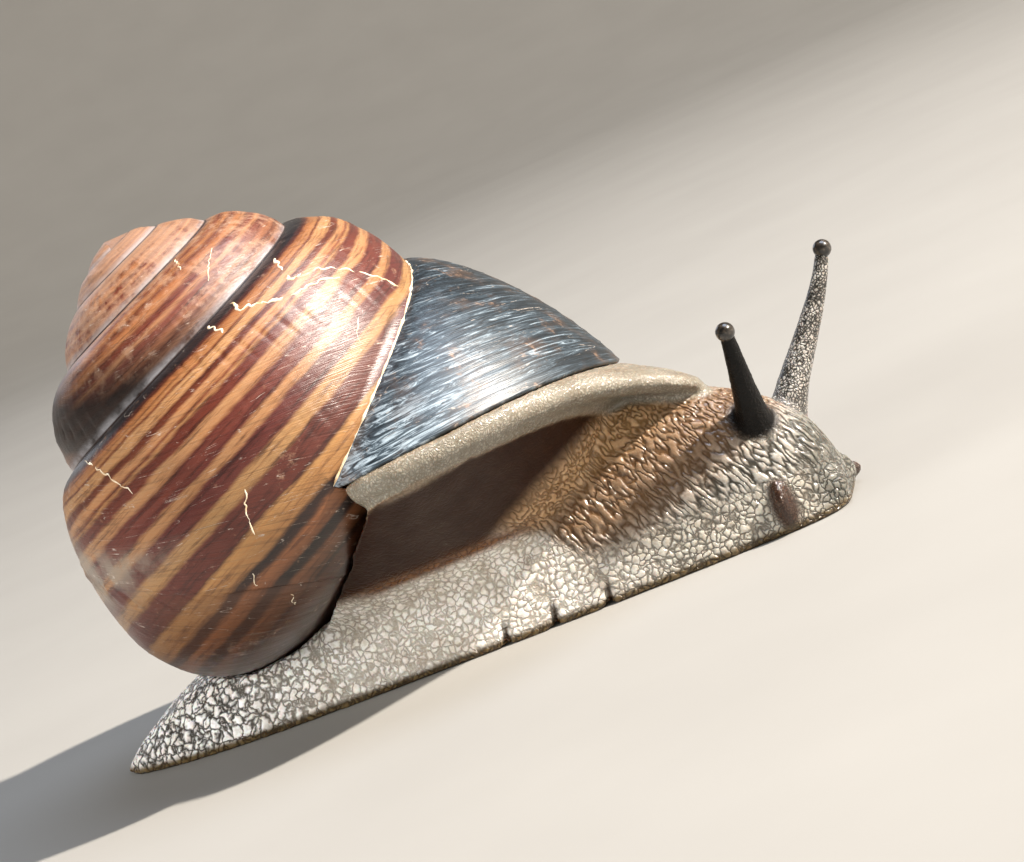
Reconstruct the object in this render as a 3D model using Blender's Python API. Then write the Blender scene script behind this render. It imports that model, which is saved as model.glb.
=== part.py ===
"""A large banded land snail, crawling, as a still life-size museum model.

Sizes are written in millimetres and turned into metres when a mesh is made.
+X is forwards (the head), +Y is the snail's left, +Z is up, and the origin is on the
flat sole, under the middle of the foot. The shell is dextral: seen from its apex it
grows clockwise.
"""
from math import asin, atan2, cos, exp, pi, radians, sin

import bmesh
import bpy
from mathutils import Vector

MM = 0.001
GAP = 0.34             # clearance between pieces that touch on the animal
WELD = 0.005           # points nearer than this are one
TURN = 2 * pi

# ---- the shell's coiling: lengths in mm, growth angles in radians ---------------------
APEX = Vector((-23.5, -2.4, 41.4))
LEAN_BACK = radians(17.4)       # the spire leans back over the tail
LEAN_RIGHT = radians(3.4)       # and a little to the snail's right
ZERO_HEADING = radians(16.5)    # growth angle 0 lies this far to the left of forwards
APEX_DEPTH = 0.3                # the worn tip is this much lower than the curve's start
SUTURE_RADIUS = 16.87           # the suture's distance from the axis at growth angle 0
RADIUS_GROWTH = 0.0524
RADIUS_SLOWING = 0.0013
SUTURE_DEPTH = 17.40            # and its depth below the apex there
DEPTH_GROWTH = 0.1058
DEPTH_SLOWING = 0.0004
DESCENT = 1.773                 # the last suture drops as the square of the angle
DESCENT_START = -0.2            # past this one
LIP_FLARE = 2.1                 # extra radius of the last half whorl at angle 0
PERIPHERY_DROP = 0.8
BASE_RADIUS = 8.0               # the base's lowest ring, half a turn before angle 0
BASE_WIDENING = 4.0             # and its extra radius at angle 0
BASE_DEPTH = 35.0
BASE_GROWTH = 1.9               # how fast that ring goes down, mm per radian
BASE_SETTLING = 0.22            # and how that slows
UMBILICUS_DEPTH = 33.8
LIP_ANGLE = radians(85)         # where the last suture meets the lip
LIP_SWEEP = radians(115)        # the lip falls back this far on its way to the axis
LIP_CURVE = (1.15, 2.2)         # how soon it does so
PARIETAL_SWEEP = radians(50)    # the aperture's inner edge, on the whorl before
APERTURE_DEPTH = 1.6            # how far the closed aperture is sunk behind the lip
SPIRE_TURNS = 4
STEPS = 36                      # columns in each turn
SPIRE_ROWS = 7
BASE_ROWS = 9

# ---- the trunk: stations of x, half width, top height, sideways offset ----------------
TRUNK_STATIONS = (
    (-40.8, 0.8, 0.7, -1.4),
    (-39.6, 2.1, 1.7, -1.3),
    (-37.2, 3.5, 3.1, -1.1),
    (-33.5, 5.1, 5.0, -0.7),
    (-28.5, 6.4, 6.7, -0.4),
    (-22.0, 7.2, 7.9, -0.1),
    (-14.0, 7.5, 8.8, 0.0),
    (-6.0, 7.5, 9.3, 0.0),
    (-2.0, 7.4, 10.2, 0.0),
    (2.0, 7.3, 11.9, 0.0),
    (6.0, 7.1, 13.3, 0.0),
    (9.5, 6.9, 13.6, -0.1),
    (13.0, 6.5, 13.0, -0.3),
    (16.5, 5.9, 11.7, -0.6),
    (19.0, 5.3, 10.3, -1.0),
    (21.2, 4.6, 8.6, -1.3),
    (22.7, 3.6, 6.5, -1.5),
    (23.6, 2.2, 4.0, -1.6),
)
TRUNK_SIDES = 20
TRUNK_STEP = 1.5
ROUNDING = 2.3                 # exponent of the trunk's arched section
SOLE_FLARE = 0.07              # the sole's margin stands out by this share
SOLE_MARGIN = 0.9              # up to about this height

# ---- the cuts that part the trunk ------------------------------------------------------
TAIL_END = -29.0
FOOT_MIDDLE = -8.0
HEAD_START = 16.6
FOOT_TOP = 6.6                 # the neck and the stalk begin above this height
NECK_BACK = 1.0

# ---- the mantle collar and the stalk that carries the shell ----------------------------
COLLAR_SIDES = 36
COLLAR_DROP = Vector((0.35, -0.20, -0.915))
COLLAR_THICKNESS = 2.0
COLLAR_SECTION = (             # scale of the aperture's edge, distance below it, share of tongue
    (0.93, 0.0, 0.0), (1.00, 0.1, 0.1), (1.04, 0.5, 0.7), (1.05, 1.0, 1.0), (1.03, 1.5, 1.0),
    (0.97, 1.9, 0.8), (0.88, 2.0, 0.2),
)
LOBE = Vector((5.6, -3.6, -2.6))         # the collar's tongue over the neck
LOBE_CENTRE = Vector((9.6, 3.4, 16.2))
LOBE_SPREAD = 8.5
STALK_SCALE = 0.84
STALK_FLAP = 0.18                        # extra scale towards the lip's rear corner
FLAP_SPREAD = 13.0
STALK_FOOT = Vector((-7.0, 0.0, 5.0))
STALK_HALF_LENGTH = 12.0
STALK_REAR = 2.4                         # its rear half is this much longer,
STALK_REAR_REACH = 13.5                  # but cut off this far back
STALK_HALF_WIDTH = 5.4
STALK_RINGS = 7

# ---- the feelers: centres, and radii at the root and under the bulb --------------------
FEELERS = {
    "right": ((18.9, -3.0, 7.0), (19.3, -4.3, 9.7), (19.7, -5.5, 12.2), (20.1, -6.6, 14.7),
              (20.3, -7.2, 16.4)),
    "left": ((20.9, 1.0, 7.2), (22.1, 2.1, 9.2), (24.0, 3.1, 11.7), (25.8, 4.1, 14.1),
             (27.1, 4.8, 16.1), (28.0, 5.3, 17.9)),
}
FEELER_ROOT = 1.6
FEELER_TOP = 0.56
FEELER_TAPER = 1.6
FEELER_SPLIT = 0.55            # share of the length in the lower piece
EYE_RADIUS = 0.76
FEELER_SIDES = 12
LIPS = {                       # centre and half sizes of the soft lobes low on the head
    "lower_feeler_right": ((19.1, -6.1, 2.15), (0.72, 1.3, 1.95)),
    "lower_feeler_left": ((22.7, 2.4, 1.1), (1.8, 0.95, 0.9)),
    "mouth_lobe_right": ((22.5, -3.9, 1.7), (1.5, 1.5, 1.6)),
    "mouth_lobe_left": ((22.9, 0.2, 1.7), (1.5, 1.5, 1.6)),
}


def colour_material(name, colour, roughness):
    material = bpy.data.materials.new(name)
    material.use_nodes = True
    shader = material.node_tree.nodes["Principled BSDF"]
    shader.inputs["Base Color"].default_value = (*colour, 1.0)
    shader.inputs["Roughness"].default_value = roughness
    shader.inputs["Metallic"].default_value = 0.0
    material.diffuse_color = (*colour, 1.0)
    return material


def make_object(name, mesh, material):
    mesh.materials.clear()
    mesh.materials.append(material)
    mesh.shade_smooth()
    mesh.set_sharp_from_angle(angle=radians(40))
    piece = bpy.data.objects.new(name, mesh)
    bpy.context.collection.objects.link(piece)
    return piece


def mesh_from_bmesh(name, bm):
    bmesh.ops.recalc_face_normals(bm, faces=bm.faces)
    mesh = bpy.data.meshes.new(name)
    bm.to_mesh(mesh)
    bm.free()
    return mesh


def loft(name, rings, first_tip=None, last_tip=None):
    """Join rings of points, in mm, into one closed mesh; a tip closes an end as a fan."""
    bm = bmesh.new()
    rows = [[bm.verts.new(point * MM) for point in ring] for ring in rings]
    count = len(rows[0])
    for low, high in zip(rows, rows[1:]):
        for k in range(count):
            following = (k + 1) % count
            bm.faces.new((low[k], low[following], high[following], high[k]))
    for row, tip in ((rows[0], first_tip), (rows[-1], last_tip)):
        if tip is None:
            bm.faces.new(row)
            continue
        centre = bm.verts.new(tip * MM)
        for k in range(count):
            bm.faces.new((row[k], row[(k + 1) % count], centre))
    bmesh.ops.triangulate(bm, faces=bm.faces)
    return mesh_from_bmesh(name, bm)


# ---- the shell -------------------------------------------------------------------------
def shell_axes():
    """The directions towards the apex, to growth angle 0, and a quarter turn back."""
    up = Vector((-sin(LEAN_BACK) * cos(LEAN_RIGHT), -sin(LEAN_RIGHT),
                 cos(LEAN_BACK) * cos(LEAN_RIGHT)))
    zero = Vector((cos(ZERO_HEADING), sin(ZERO_HEADING), 0.0))
    zero.z = -(zero.x * up.x + zero.y * up.y) / up.z
    zero.normalize()
    return up, zero, up.cross(zero)


def shell_point(angle, radius, depth):
    up, zero, side = shell_axes()
    return APEX + radius * (cos(angle) * zero - sin(angle) * side) - depth * up


def suture(angle, descends=True):
    """Radius and depth of the suture, which is where a whorl starts."""
    radius = SUTURE_RADIUS * exp(RADIUS_GROWTH * angle - RADIUS_SLOWING * angle ** 2)
    depth = SUTURE_DEPTH * exp(DEPTH_GROWTH * angle - DEPTH_SLOWING * angle ** 2)
    if descends and angle > DESCENT_START:
        depth += DESCENT * (angle - DESCENT_START) ** 2
    return radius, depth


def whorl_rings(angle):
    """The suture, the widest ring and the lowest ring of the whorl at one angle."""
    radius, depth = suture(angle + TURN, descends=False)
    late = min(max((angle + pi) / pi, 0.0), 1.4)
    widest = (radius + LIP_FLARE * late ** 1.5, depth + PERIPHERY_DROP)
    grown = angle + pi
    lowest = (BASE_RADIUS + BASE_WIDENING * late,
              BASE_DEPTH + BASE_GROWTH * grown - BASE_SETTLING * grown ** 2)
    return suture(angle), widest, lowest


def whorl_profile(angle, s):
    """Radius and depth along a whorl: s is 0 at the suture, 1 at the widest ring,
    2 at the lowest ring and 3 on the axis."""
    start, widest, lowest = whorl_rings(angle)
    if s <= 1:
        late = min(max((angle + pi) / pi, 0.0), 1.0)
        early = min(max(-(angle + 3 * pi) / TURN, 0.0), 1.0)
        power = 2 / (1.9 - 0.4 * late - 0.5 * early)
        radius = start[0] + (widest[0] - start[0]) * sin(s * pi / 2) ** power
        depth = widest[1] - (widest[1] - start[1]) * max(cos(s * pi / 2), 0.0) ** power
        return radius, depth
    if s <= 2:
        power = 2 / 2.25
        turned = (s - 1) * pi / 2
        radius = lowest[0] + (widest[0] - lowest[0]) * max(cos(turned), 0.0) ** power
        depth = widest[1] + (lowest[1] - widest[1]) * sin(turned) ** power
        return radius, depth
    inwards = s - 2
    return (lowest[0] * (1 - inwards),
            lowest[1] + (UMBILICUS_DEPTH - lowest[1]) * inwards ** 1.5)


def covered_from(angle):
    """The s at which the next whorl starts on this one."""
    _, widest, lowest = whorl_rings(angle)
    below = suture(angle + TURN)[1] - widest[1]
    if below <= 0:
        return 1.0
    return 1.0 + asin(min(below / (lowest[1] - widest[1]), 1.0)) * 2 / pi


def spire_point(angle, row):
    """A point of the strip between one suture and the next."""
    along = row / SPIRE_ROWS
    end = covered_from(angle)
    radius, depth = whorl_profile(angle, along * end)
    wanted = suture(angle + TURN)
    reached = whorl_profile(angle, end)
    radius += (wanted[0] - reached[0]) * along ** 2
    depth += (wanted[1] - reached[1]) * along ** 2
    return shell_point(angle, radius, depth)


def last_turn_point(step, row):
    """A point of the last turn, which shows from its suture to the axis."""
    u = step / STEPS
    upper = min(row / SPIRE_ROWS, 1.0)
    lower = max(row - SPIRE_ROWS, 0) / BASE_ROWS
    starts = LIP_ANGLE - TURN - PARIETAL_SWEEP * lower
    angle = starts + (lip_angle(upper + 2 * lower) - starts) * u
    first = covered_from(LIP_ANGLE - TURN)
    edge = first + (1.0 - first) * min(4 * u, 1.0)
    s = upper * edge + (3.0 - edge) * lower
    radius, depth = whorl_profile(angle, s)
    if u < 0.25:
        wanted = suture(LIP_ANGLE)
        reached = whorl_profile(LIP_ANGLE - TURN, first)
        pull = (1 - 4 * u) * upper ** 2 * (1 - lower)
        radius += (wanted[0] - reached[0]) * pull
        depth += (wanted[1] - reached[1]) * pull
    return shell_point(angle, radius, depth)


def lip_angle(s):
    """The growth angle of the lip's edge, which lags further behind towards the base."""
    rate, power = LIP_CURVE
    return LIP_ANGLE - LIP_SWEEP * (1 - exp(-rate * s ** power))


def aperture_loop():
    """The aperture's edge: down the lip from the suture, then back along the whorl."""
    rows = SPIRE_ROWS + BASE_ROWS
    lip = [last_turn_point(STEPS, row) for row in range(rows)]
    axis = shell_point(0.0, 0.0, UMBILICUS_DEPTH)
    inner = [last_turn_point(0, row) for row in range(rows - 1, SPIRE_ROWS, -1)]
    return lip + [axis] + inner


def middle_of(points):
    return sum(points, Vector()) / len(points)


def build_shell():
    bm = bmesh.new()
    first_angle = LIP_ANGLE - (SPIRE_TURNS + 1) * TURN
    columns = SPIRE_TURNS * STEPS
    grid = {}
    for column in range(columns + STEPS + 1):
        angle = first_angle + column * TURN / STEPS
        point = shell_point(angle, *suture(angle))
        grid[column, 0] = bm.verts.new(point * MM)
    for column in range(columns + 1):
        angle = first_angle + column * TURN / STEPS
        for row in range(1, SPIRE_ROWS):
            grid[column, row] = bm.verts.new(spire_point(angle, row) * MM)
        grid[column, SPIRE_ROWS] = grid[column + STEPS, 0]
    last_row = SPIRE_ROWS + BASE_ROWS
    axis = bm.verts.new(shell_point(0.0, 0.0, UMBILICUS_DEPTH) * MM)
    for step in range(STEPS + 1):
        column = columns + step
        for row in range(1, last_row):
            if (column, row) not in grid:
                grid[column, row] = bm.verts.new(last_turn_point(step, row) * MM)
        grid[column, last_row] = axis

    for column in range(columns + STEPS):
        rows = SPIRE_ROWS if column < columns else last_row
        for row in range(rows):
            corners = [grid[column, row], grid[column + 1, row],
                       grid[column + 1, row + 1], grid[column, row + 1]]
            bm.faces.new(list(dict.fromkeys(corners)))

    tip = bm.verts.new(shell_point(0.0, 0.0, APEX_DEPTH) * MM)
    inner_turn = [grid[column, 0] for column in range(STEPS + 1)]
    start_column = [grid[0, row] for row in range(SPIRE_ROWS, -1, -1)]
    rim = inner_turn + start_column[1:-1]
    for k, vertex in enumerate(rim):
        bm.faces.new((vertex, rim[(k + 1) % len(rim)], tip))

    end = columns + STEPS
    lip = [grid[end, row] for row in range(last_row)]
    inner = [grid[columns, row] for row in range(last_row - 1, SPIRE_ROWS, -1)]
    loop = lip + [axis] + inner
    sunk = (middle_of(aperture_loop()) - COLLAR_DROP * APERTURE_DEPTH) * MM
    centre = bm.verts.new(sunk)
    for k, vertex in enumerate(loop):
        bm.faces.new((vertex, loop[(k + 1) % len(loop)], centre))
    bmesh.ops.triangulate(bm, faces=bm.faces)
    return mesh_from_bmesh("shell", bm)


# ---- the flesh -------------------------------------------------------------------------
def smooth_between(stations, x):
    """Values at x, on a smooth curve through the stations."""
    last = len(stations) - 2
    k = max(i for i in range(last + 1) if stations[i][0] <= x or i == 0)
    before = stations[max(k - 1, 0)]
    here = stations[k]
    there = stations[k + 1]
    after = stations[min(k + 2, last + 1)]
    width = there[0] - here[0]
    t = min(max((x - here[0]) / width, 0.0), 1.0)
    values = []
    for i in range(1, len(here)):
        slope_in = (there[i] - before[i]) / (there[0] - before[0]) * width
        slope_out = (after[i] - here[i]) / (after[0] - here[0]) * width
        values.append(here[i] * (2 * t ** 3 - 3 * t ** 2 + 1) + slope_in * (t ** 3 - 2 * t ** 2 + t)
                      + there[i] * (3 * t ** 2 - 2 * t ** 3) + slope_out * (t ** 3 - t ** 2))
    return values


def trunk_ring(x):
    """One arched section of the trunk, standing on the flat sole."""
    half_width, top, offset = smooth_between(TRUNK_STATIONS, x)
    power = 2 / ROUNDING
    ring = []
    for k in range(TRUNK_SIDES + 1):
        angle = pi * k / TRUNK_SIDES
        height = top * sin(angle) ** power if 0 < k < TRUNK_SIDES else 0.0
        across = abs(cos(angle)) ** power * (1 if cos(angle) > 0 else -1)
        flare = 1 + SOLE_FLARE * exp(-height / SOLE_MARGIN)
        ring.append(Vector((x, offset + half_width * across * flare, height)))
    return ring


def build_trunk():
    start = TRUNK_STATIONS[0][0]
    end = TRUNK_STATIONS[-1][0]
    count = round((end - start) / TRUNK_STEP)
    places = [start + (end - start) * k / count for k in range(count)]
    places += [station[0] for station in TRUNK_STATIONS[-4:] if station[0] > places[-1]]
    tail_tip = Vector((start - 0.6, TRUNK_STATIONS[0][3], 0.3))
    snout = Vector((end + 0.3, TRUNK_STATIONS[-1][3], 2.0))
    return loft("trunk", [trunk_ring(x) for x in places], tail_tip, snout)


def evenly_spaced(loop, count):
    """The closed loop again, with points at equal distances and its corners eased."""
    sides = list(zip(loop, loop[1:] + loop[:1]))
    lengths = [(end - start).length for start, end in sides]
    step = sum(lengths) / count
    points = []
    passed = 0.0
    for (start, end), length in zip(sides, lengths):
        while len(points) < count and len(points) * step < passed + length:
            points.append(start.lerp(end, (len(points) * step - passed) / length))
        passed += length
    return [(points[k - 1] + 2 * points[k] + points[(k + 1) % count]) / 4 for k in range(count)]


def collar_ring(scale, drop, tongue=0.0, flap=0.0):
    """The aperture's edge, drawn in or out and moved down, with the tongue in front."""
    loop = evenly_spaced(aperture_loop(), COLLAR_SIDES)
    middle = middle_of(loop)
    rear_corner = shell_point(LIP_ANGLE, *suture(LIP_ANGLE))
    ring = []
    for point in loop:
        near_lobe = exp(-((point - LOBE_CENTRE).length / LOBE_SPREAD) ** 2)
        near_corner = exp(-((point - rear_corner).length / FLAP_SPREAD) ** 2)
        reach = (point - middle) * (scale + flap * near_corner)
        ring.append(middle + reach + COLLAR_DROP * (GAP + drop) + LOBE * near_lobe * tongue)
    return ring


def build_collar():
    rings = [collar_ring(*section) for section in COLLAR_SECTION]
    return loft("mantle_collar", rings, middle_of(rings[0]), middle_of(rings[-1]))


def build_stalk():
    """From the collar's underside to an oval inside the foot."""
    top = collar_ring(STALK_SCALE, COLLAR_THICKNESS + GAP, flap=STALK_FLAP)
    middle = middle_of(top)
    rings = []
    for k in range(STALK_RINGS):
        blend = k / (STALK_RINGS - 1)
        ring = []
        for point in top:
            turned = atan2(point.y - middle.y, point.x - middle.x)
            length = STALK_HALF_LENGTH * (STALK_REAR if cos(turned) < 0 else 1.0)
            along = max(length * cos(turned), -STALK_REAR_REACH)
            reach = Vector((along, STALK_HALF_WIDTH * sin(turned), 0))
            ring.append(point.lerp(STALK_FOOT + reach, blend))
        rings.append(ring)
    return loft("stalk", rings, middle, middle_of(rings[-1]))


def feeler_point(route, share):
    """A point of a feeler's centre line, eased through its route."""
    stations = [(k, *point) for k, point in enumerate(route)]
    return Vector(smooth_between(stations, share * (len(route) - 1)))


def feeler_radius(share):
    return FEELER_TOP + (FEELER_ROOT - FEELER_TOP) * (1 - share) ** FEELER_TAPER


def feeler_piece(name, route, start, end, rings=7):
    """A length of a feeler, between two shares of its route."""
    sections = []
    for k in range(rings):
        share = start + (end - start) * k / (rings - 1)
        centre = feeler_point(route, share)
        along = (feeler_point(route, min(share + 0.02, 1.0))
                 - feeler_point(route, max(share - 0.02, 0.0))).normalized()
        across = along.cross(Vector((0, 1, 0))).normalized()
        third = along.cross(across)
        radius = feeler_radius(share)
        turns = [TURN * i / FEELER_SIDES for i in range(FEELER_SIDES)]
        sections.append([centre + radius * (cos(t) * across + sin(t) * third) for t in turns])
    return loft(name, sections)


def oval(name, centre, half_sizes, turns=12, rows=8):
    bm = bmesh.new()
    bmesh.ops.create_uvsphere(bm, u_segments=turns, v_segments=rows, radius=1.0)
    bmesh.ops.scale(bm, vec=Vector(half_sizes) * MM, verts=bm.verts)
    bmesh.ops.translate(bm, vec=Vector(centre) * MM, verts=bm.verts)
    bmesh.ops.triangulate(bm, faces=bm.faces)
    return mesh_from_bmesh(name, bm)


def block(low, high):
    """A box in mm, used to part the trunk."""
    bm = bmesh.new()
    bmesh.ops.create_cube(bm, size=1.0)
    size = Vector(high) - Vector(low)
    bmesh.ops.scale(bm, vec=size * MM, verts=bm.verts)
    bmesh.ops.translate(bm, vec=(Vector(low) + size / 2) * MM, verts=bm.verts)
    return mesh_from_bmesh("block", bm)


def swollen(mesh, distance=GAP):
    """A copy of a mesh whose skin stands out by a distance in mm."""
    copy = mesh.copy()
    bm = bmesh.new()
    bm.from_mesh(copy)
    bm.normal_update()
    offsets = [vertex.normal * distance * MM * min(vertex.calc_shell_factor(), 2.0)
               for vertex in bm.verts]
    for vertex, offset in zip(bm.verts, offsets):
        vertex.co += offset
    bm.to_mesh(copy)
    bm.free()
    return copy


def combined(mesh, other, operation):
    """The Boolean of two meshes, as a new mesh."""
    target = bpy.data.objects.new("target", mesh)
    tool = bpy.data.objects.new("tool", other)
    for helper in (target, tool):
        bpy.context.collection.objects.link(helper)
    modifier = target.modifiers.new("boolean", "BOOLEAN")
    modifier.operation = operation
    modifier.object = tool
    view_layer = bpy.context.evaluated_depsgraph_get()
    result = bpy.data.meshes.new_from_object(target.evaluated_get(view_layer))
    for helper in (target, tool):
        bpy.data.objects.remove(helper)
    return largest_body(result)


def largest_body(mesh):
    """The mesh without slivers: only its biggest connected body stays."""
    bm = bmesh.new()
    bm.from_mesh(mesh)
    bmesh.ops.remove_doubles(bm, verts=bm.verts, dist=WELD * MM)
    bmesh.ops.dissolve_degenerate(bm, edges=bm.edges, dist=WELD * MM)
    unseen = set(bm.verts)
    bodies = []
    while unseen:
        body = [unseen.pop()]
        for vertex in body:
            for edge in vertex.link_edges:
                other = edge.other_vert(vertex)
                if other in unseen:
                    unseen.remove(other)
                    body.append(other)
        bodies.append(body)
    bodies.sort(key=len)
    for body in bodies[:-1]:
        bmesh.ops.delete(bm, geom=body, context="VERTS")
    bmesh.ops.triangulate(bm, faces=bm.faces)
    bm.to_mesh(mesh)
    bm.free()
    return mesh


def build_flesh():
    """The collar, stalk and trunk, trimmed to each other and parted, by node name."""
    shell_space = swollen(build_shell())
    collar = combined(build_collar(), shell_space, "DIFFERENCE")
    body = combined(build_trunk(), build_stalk(), "UNION")
    body = combined(body, shell_space, "DIFFERENCE")
    body = combined(body, swollen(collar), "DIFFERENCE")

    far = 60.0
    half = GAP / 2
    cuts = {
        "tail": ((-far, -far, -1), (TAIL_END - half, far, far)),
        "foot_rear": ((TAIL_END + half, -far, -1), (FOOT_MIDDLE - half, far, FOOT_TOP - half)),
        "foot_front": ((FOOT_MIDDLE + half, -far, -1), (HEAD_START - half, far, FOOT_TOP - half)),
        "neck": ((NECK_BACK + half, -far, FOOT_TOP + half), (HEAD_START - half, far, far)),
        "stalk": ((TAIL_END + half, -far, FOOT_TOP + half), (NECK_BACK - half, far, far)),
        "head": ((HEAD_START + half, -far, -1), (far, far, far)),
    }
    flesh = {name: combined(body.copy(), block(*box), "INTERSECT") for name, box in cuts.items()}
    flesh["mantle_collar"] = collar
    return flesh


def build_feelers(head):
    """The feelers, their eyes and the soft lobes, clear of the head."""
    head_space = swollen(head)
    pieces = {}
    for side, route in FEELERS.items():
        lower = feeler_piece("lower", route, 0.0, FEELER_SPLIT)
        pieces[f"feeler_{side}_lower"] = combined(lower, head_space, "DIFFERENCE")
        length = (Vector(route[-1]) - Vector(route[0])).length
        top = 1.0 - (EYE_RADIUS + GAP) / length
        pieces[f"feeler_{side}_upper"] = feeler_piece("upper", route, FEELER_SPLIT + GAP / length, top)
        pieces[f"eye_{side}"] = oval("eye", route[-1], (EYE_RADIUS,) * 3)
    for name, (centre, half_sizes) in LIPS.items():
        pieces[name] = combined(oval(name, centre, half_sizes), head_space, "DIFFERENCE")
    return pieces


def main():
    for old in list(bpy.data.objects):
        bpy.data.objects.remove(old)
    shell_material = colour_material("banded shell", (0.30, 0.10, 0.04), 0.25)
    skin = colour_material("wet grey-brown skin", (0.36, 0.28, 0.21), 0.45)
    collar_skin = colour_material("pale collar skin", (0.50, 0.38, 0.24), 0.45)
    feeler_skin = colour_material("dark feeler skin", (0.06, 0.045, 0.035), 0.35)
    eye_material = colour_material("eye", (0.02, 0.02, 0.02), 0.15)

    make_object("shell", build_shell(), shell_material)
    flesh = build_flesh()
    for name, mesh in flesh.items():
        make_object(name, mesh, collar_skin if name == "mantle_collar" else skin)
    for name, mesh in build_feelers(flesh["head"]).items():
        if name.startswith("eye"):
            material = eye_material
        elif name.startswith("feeler"):
            material = feeler_skin
        else:
            material = skin
        make_object(name, mesh, material)


main()
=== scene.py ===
# %% [markdown]
# # A banded land snail, crawling
#
# This scene gives a life-size land snail its looks. The frame holds plain solids of the
# shell, the foot, the neck, the head and the feelers. Here the shell is made again as a
# fine sheet wound on the same coil, and all the flesh becomes one wet, pebbled skin.
# Lengths are written in millimetres and multiplied by MM where a mesh is made.
# +X is the way the snail faces, +Y is its left, +Z is up, and it crawls on z = 0.

# %% Load the frame
from math import asin, cos, exp, pi, radians, sin

import bmesh
import bpy
import numpy as np
from mathutils import Matrix, Vector, noise
from mathutils.bvhtree import BVHTree


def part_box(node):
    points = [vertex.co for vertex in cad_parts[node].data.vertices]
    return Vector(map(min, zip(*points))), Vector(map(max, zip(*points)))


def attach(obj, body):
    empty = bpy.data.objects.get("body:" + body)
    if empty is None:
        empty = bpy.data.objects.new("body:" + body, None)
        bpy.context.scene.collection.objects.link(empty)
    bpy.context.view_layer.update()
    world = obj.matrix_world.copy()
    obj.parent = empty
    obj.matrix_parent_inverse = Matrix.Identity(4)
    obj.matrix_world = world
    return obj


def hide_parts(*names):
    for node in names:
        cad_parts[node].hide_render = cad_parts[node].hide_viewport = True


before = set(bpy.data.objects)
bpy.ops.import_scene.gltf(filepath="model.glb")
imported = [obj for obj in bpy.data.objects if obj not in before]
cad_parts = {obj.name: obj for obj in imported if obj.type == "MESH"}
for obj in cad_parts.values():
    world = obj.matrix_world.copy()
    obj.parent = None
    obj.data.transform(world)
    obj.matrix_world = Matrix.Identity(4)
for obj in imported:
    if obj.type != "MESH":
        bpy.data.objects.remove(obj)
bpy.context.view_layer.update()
MM = 0.001
WELD = 0.002 * MM         # points nearer than this are one
TURN = 2 * pi
noise.seed_set(11)        # noise vectors differ from run to run without a seed
print("nodes:", len(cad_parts))

# %% [markdown]
# ## Camera
#
# The snail was met on sloping wood, and the camera was held level with the ground. Here
# the snail crawls on a flat floor, so the camera rolls instead, until the foot climbs
# from the lower left to the upper right of the picture. A matrix made of the picture's
# right, its up and the way back to the viewer says this more plainly than three angles.

# %% Camera
AZIMUTH = radians(14)
ELEVATION = radians(8)
ROLL = radians(24)
TARGET = Vector((0.0, 1.0, 14.3)) * MM
DISTANCE = 227.56 * MM

level = Vector((cos(AZIMUTH), sin(AZIMUTH), 0))
backwards = Vector((sin(AZIMUTH) * cos(ELEVATION), -cos(AZIMUTH) * cos(ELEVATION), sin(ELEVATION)))
upwards = backwards.cross(level)
picture_right = cos(ROLL) * level - sin(ROLL) * upwards
picture_up = sin(ROLL) * level + cos(ROLL) * upwards
camera = bpy.data.objects.new("camera", bpy.data.cameras.new("camera"))
camera.data.lens = 100
camera.data.sensor_width = 36
camera.data.clip_start = 10 * MM
camera.matrix_world = (Matrix.Translation(TARGET + backwards * DISTANCE)
                       @ Matrix((picture_right, picture_up, backwards)).transposed().to_4x4())
bpy.context.scene.collection.objects.link(camera)
bpy.context.scene.camera = camera
print("camera height, mm:", round(camera.location.z / MM, 1))

# %% [markdown]
# ## Helpers for materials
#
# Colours are given as sRGB hex values, the way a paint chart gives them, and Blender's
# sockets want linear light, so one function converts them. Another adds a node, sets it
# and links it, so that a material reads as a list of what it is made of.

# %% Colour and node helpers
def colour(code):
    """Linear RGBA of an sRGB hex value."""
    parts = [int(code[k:k + 2], 16) / 255 for k in (1, 3, 5)]
    return (*[p / 12.92 if p <= 0.04045 else ((p + 0.055) / 1.055) ** 2.4 for p in parts], 1.0)


def fill(tree, node, inputs):
    """Give a node's sockets their values, or link them to other nodes' outputs. The inputs
    go by name in a dictionary, or else by the order of the sockets."""
    shown = [socket for socket in node.inputs if socket.enabled]
    if isinstance(inputs, dict):
        shown = [next(socket for socket in shown if socket.name == name) for name in inputs]
        inputs = inputs.values()
    for socket, value in zip(shown, inputs):
        if isinstance(value, bpy.types.NodeSocket):
            tree.links.new(value, socket)
        else:
            socket.default_value = value


def add(tree, kind, inputs=(), stops=(), **settings):
    """Add a node with its settings, its inputs and a colour ramp's stops. It gives back the
    node's output, or all of them by name where there are several."""
    node = tree.nodes.new(kind)
    for name, value in settings.items():
        setattr(node, name, value)
    fill(tree, node, inputs)
    if stops:
        elements = node.color_ramp.elements
        while len(elements) < len(stops):
            elements.new(1.0)
        for element, (place, code) in zip(elements, stops):
            element.position = place
            element.color = colour(code)
    results = [socket for socket in node.outputs if socket.enabled]
    return results[0] if len(results) == 1 else node.outputs


def new_material(name):
    """A material with only its shader, its node tree, and that shader."""
    material = bpy.data.materials.new(name)
    material.use_nodes = True
    return material, material.node_tree, material.node_tree.nodes["Principled BSDF"]


def make_piece(name, bm, *materials):
    """A smooth object at the origin from a finished bmesh, in metres."""
    for face in bm.faces:
        face.smooth = True
    mesh = bpy.data.meshes.new(name)
    bm.to_mesh(mesh)
    bm.free()
    for material in materials:
        mesh.materials.append(material)
    piece = bpy.data.objects.new(name, mesh)
    bpy.context.scene.collection.objects.link(piece)
    return piece


print("grey #808080 in linear light:", round(colour("#808080")[0], 3))

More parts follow.
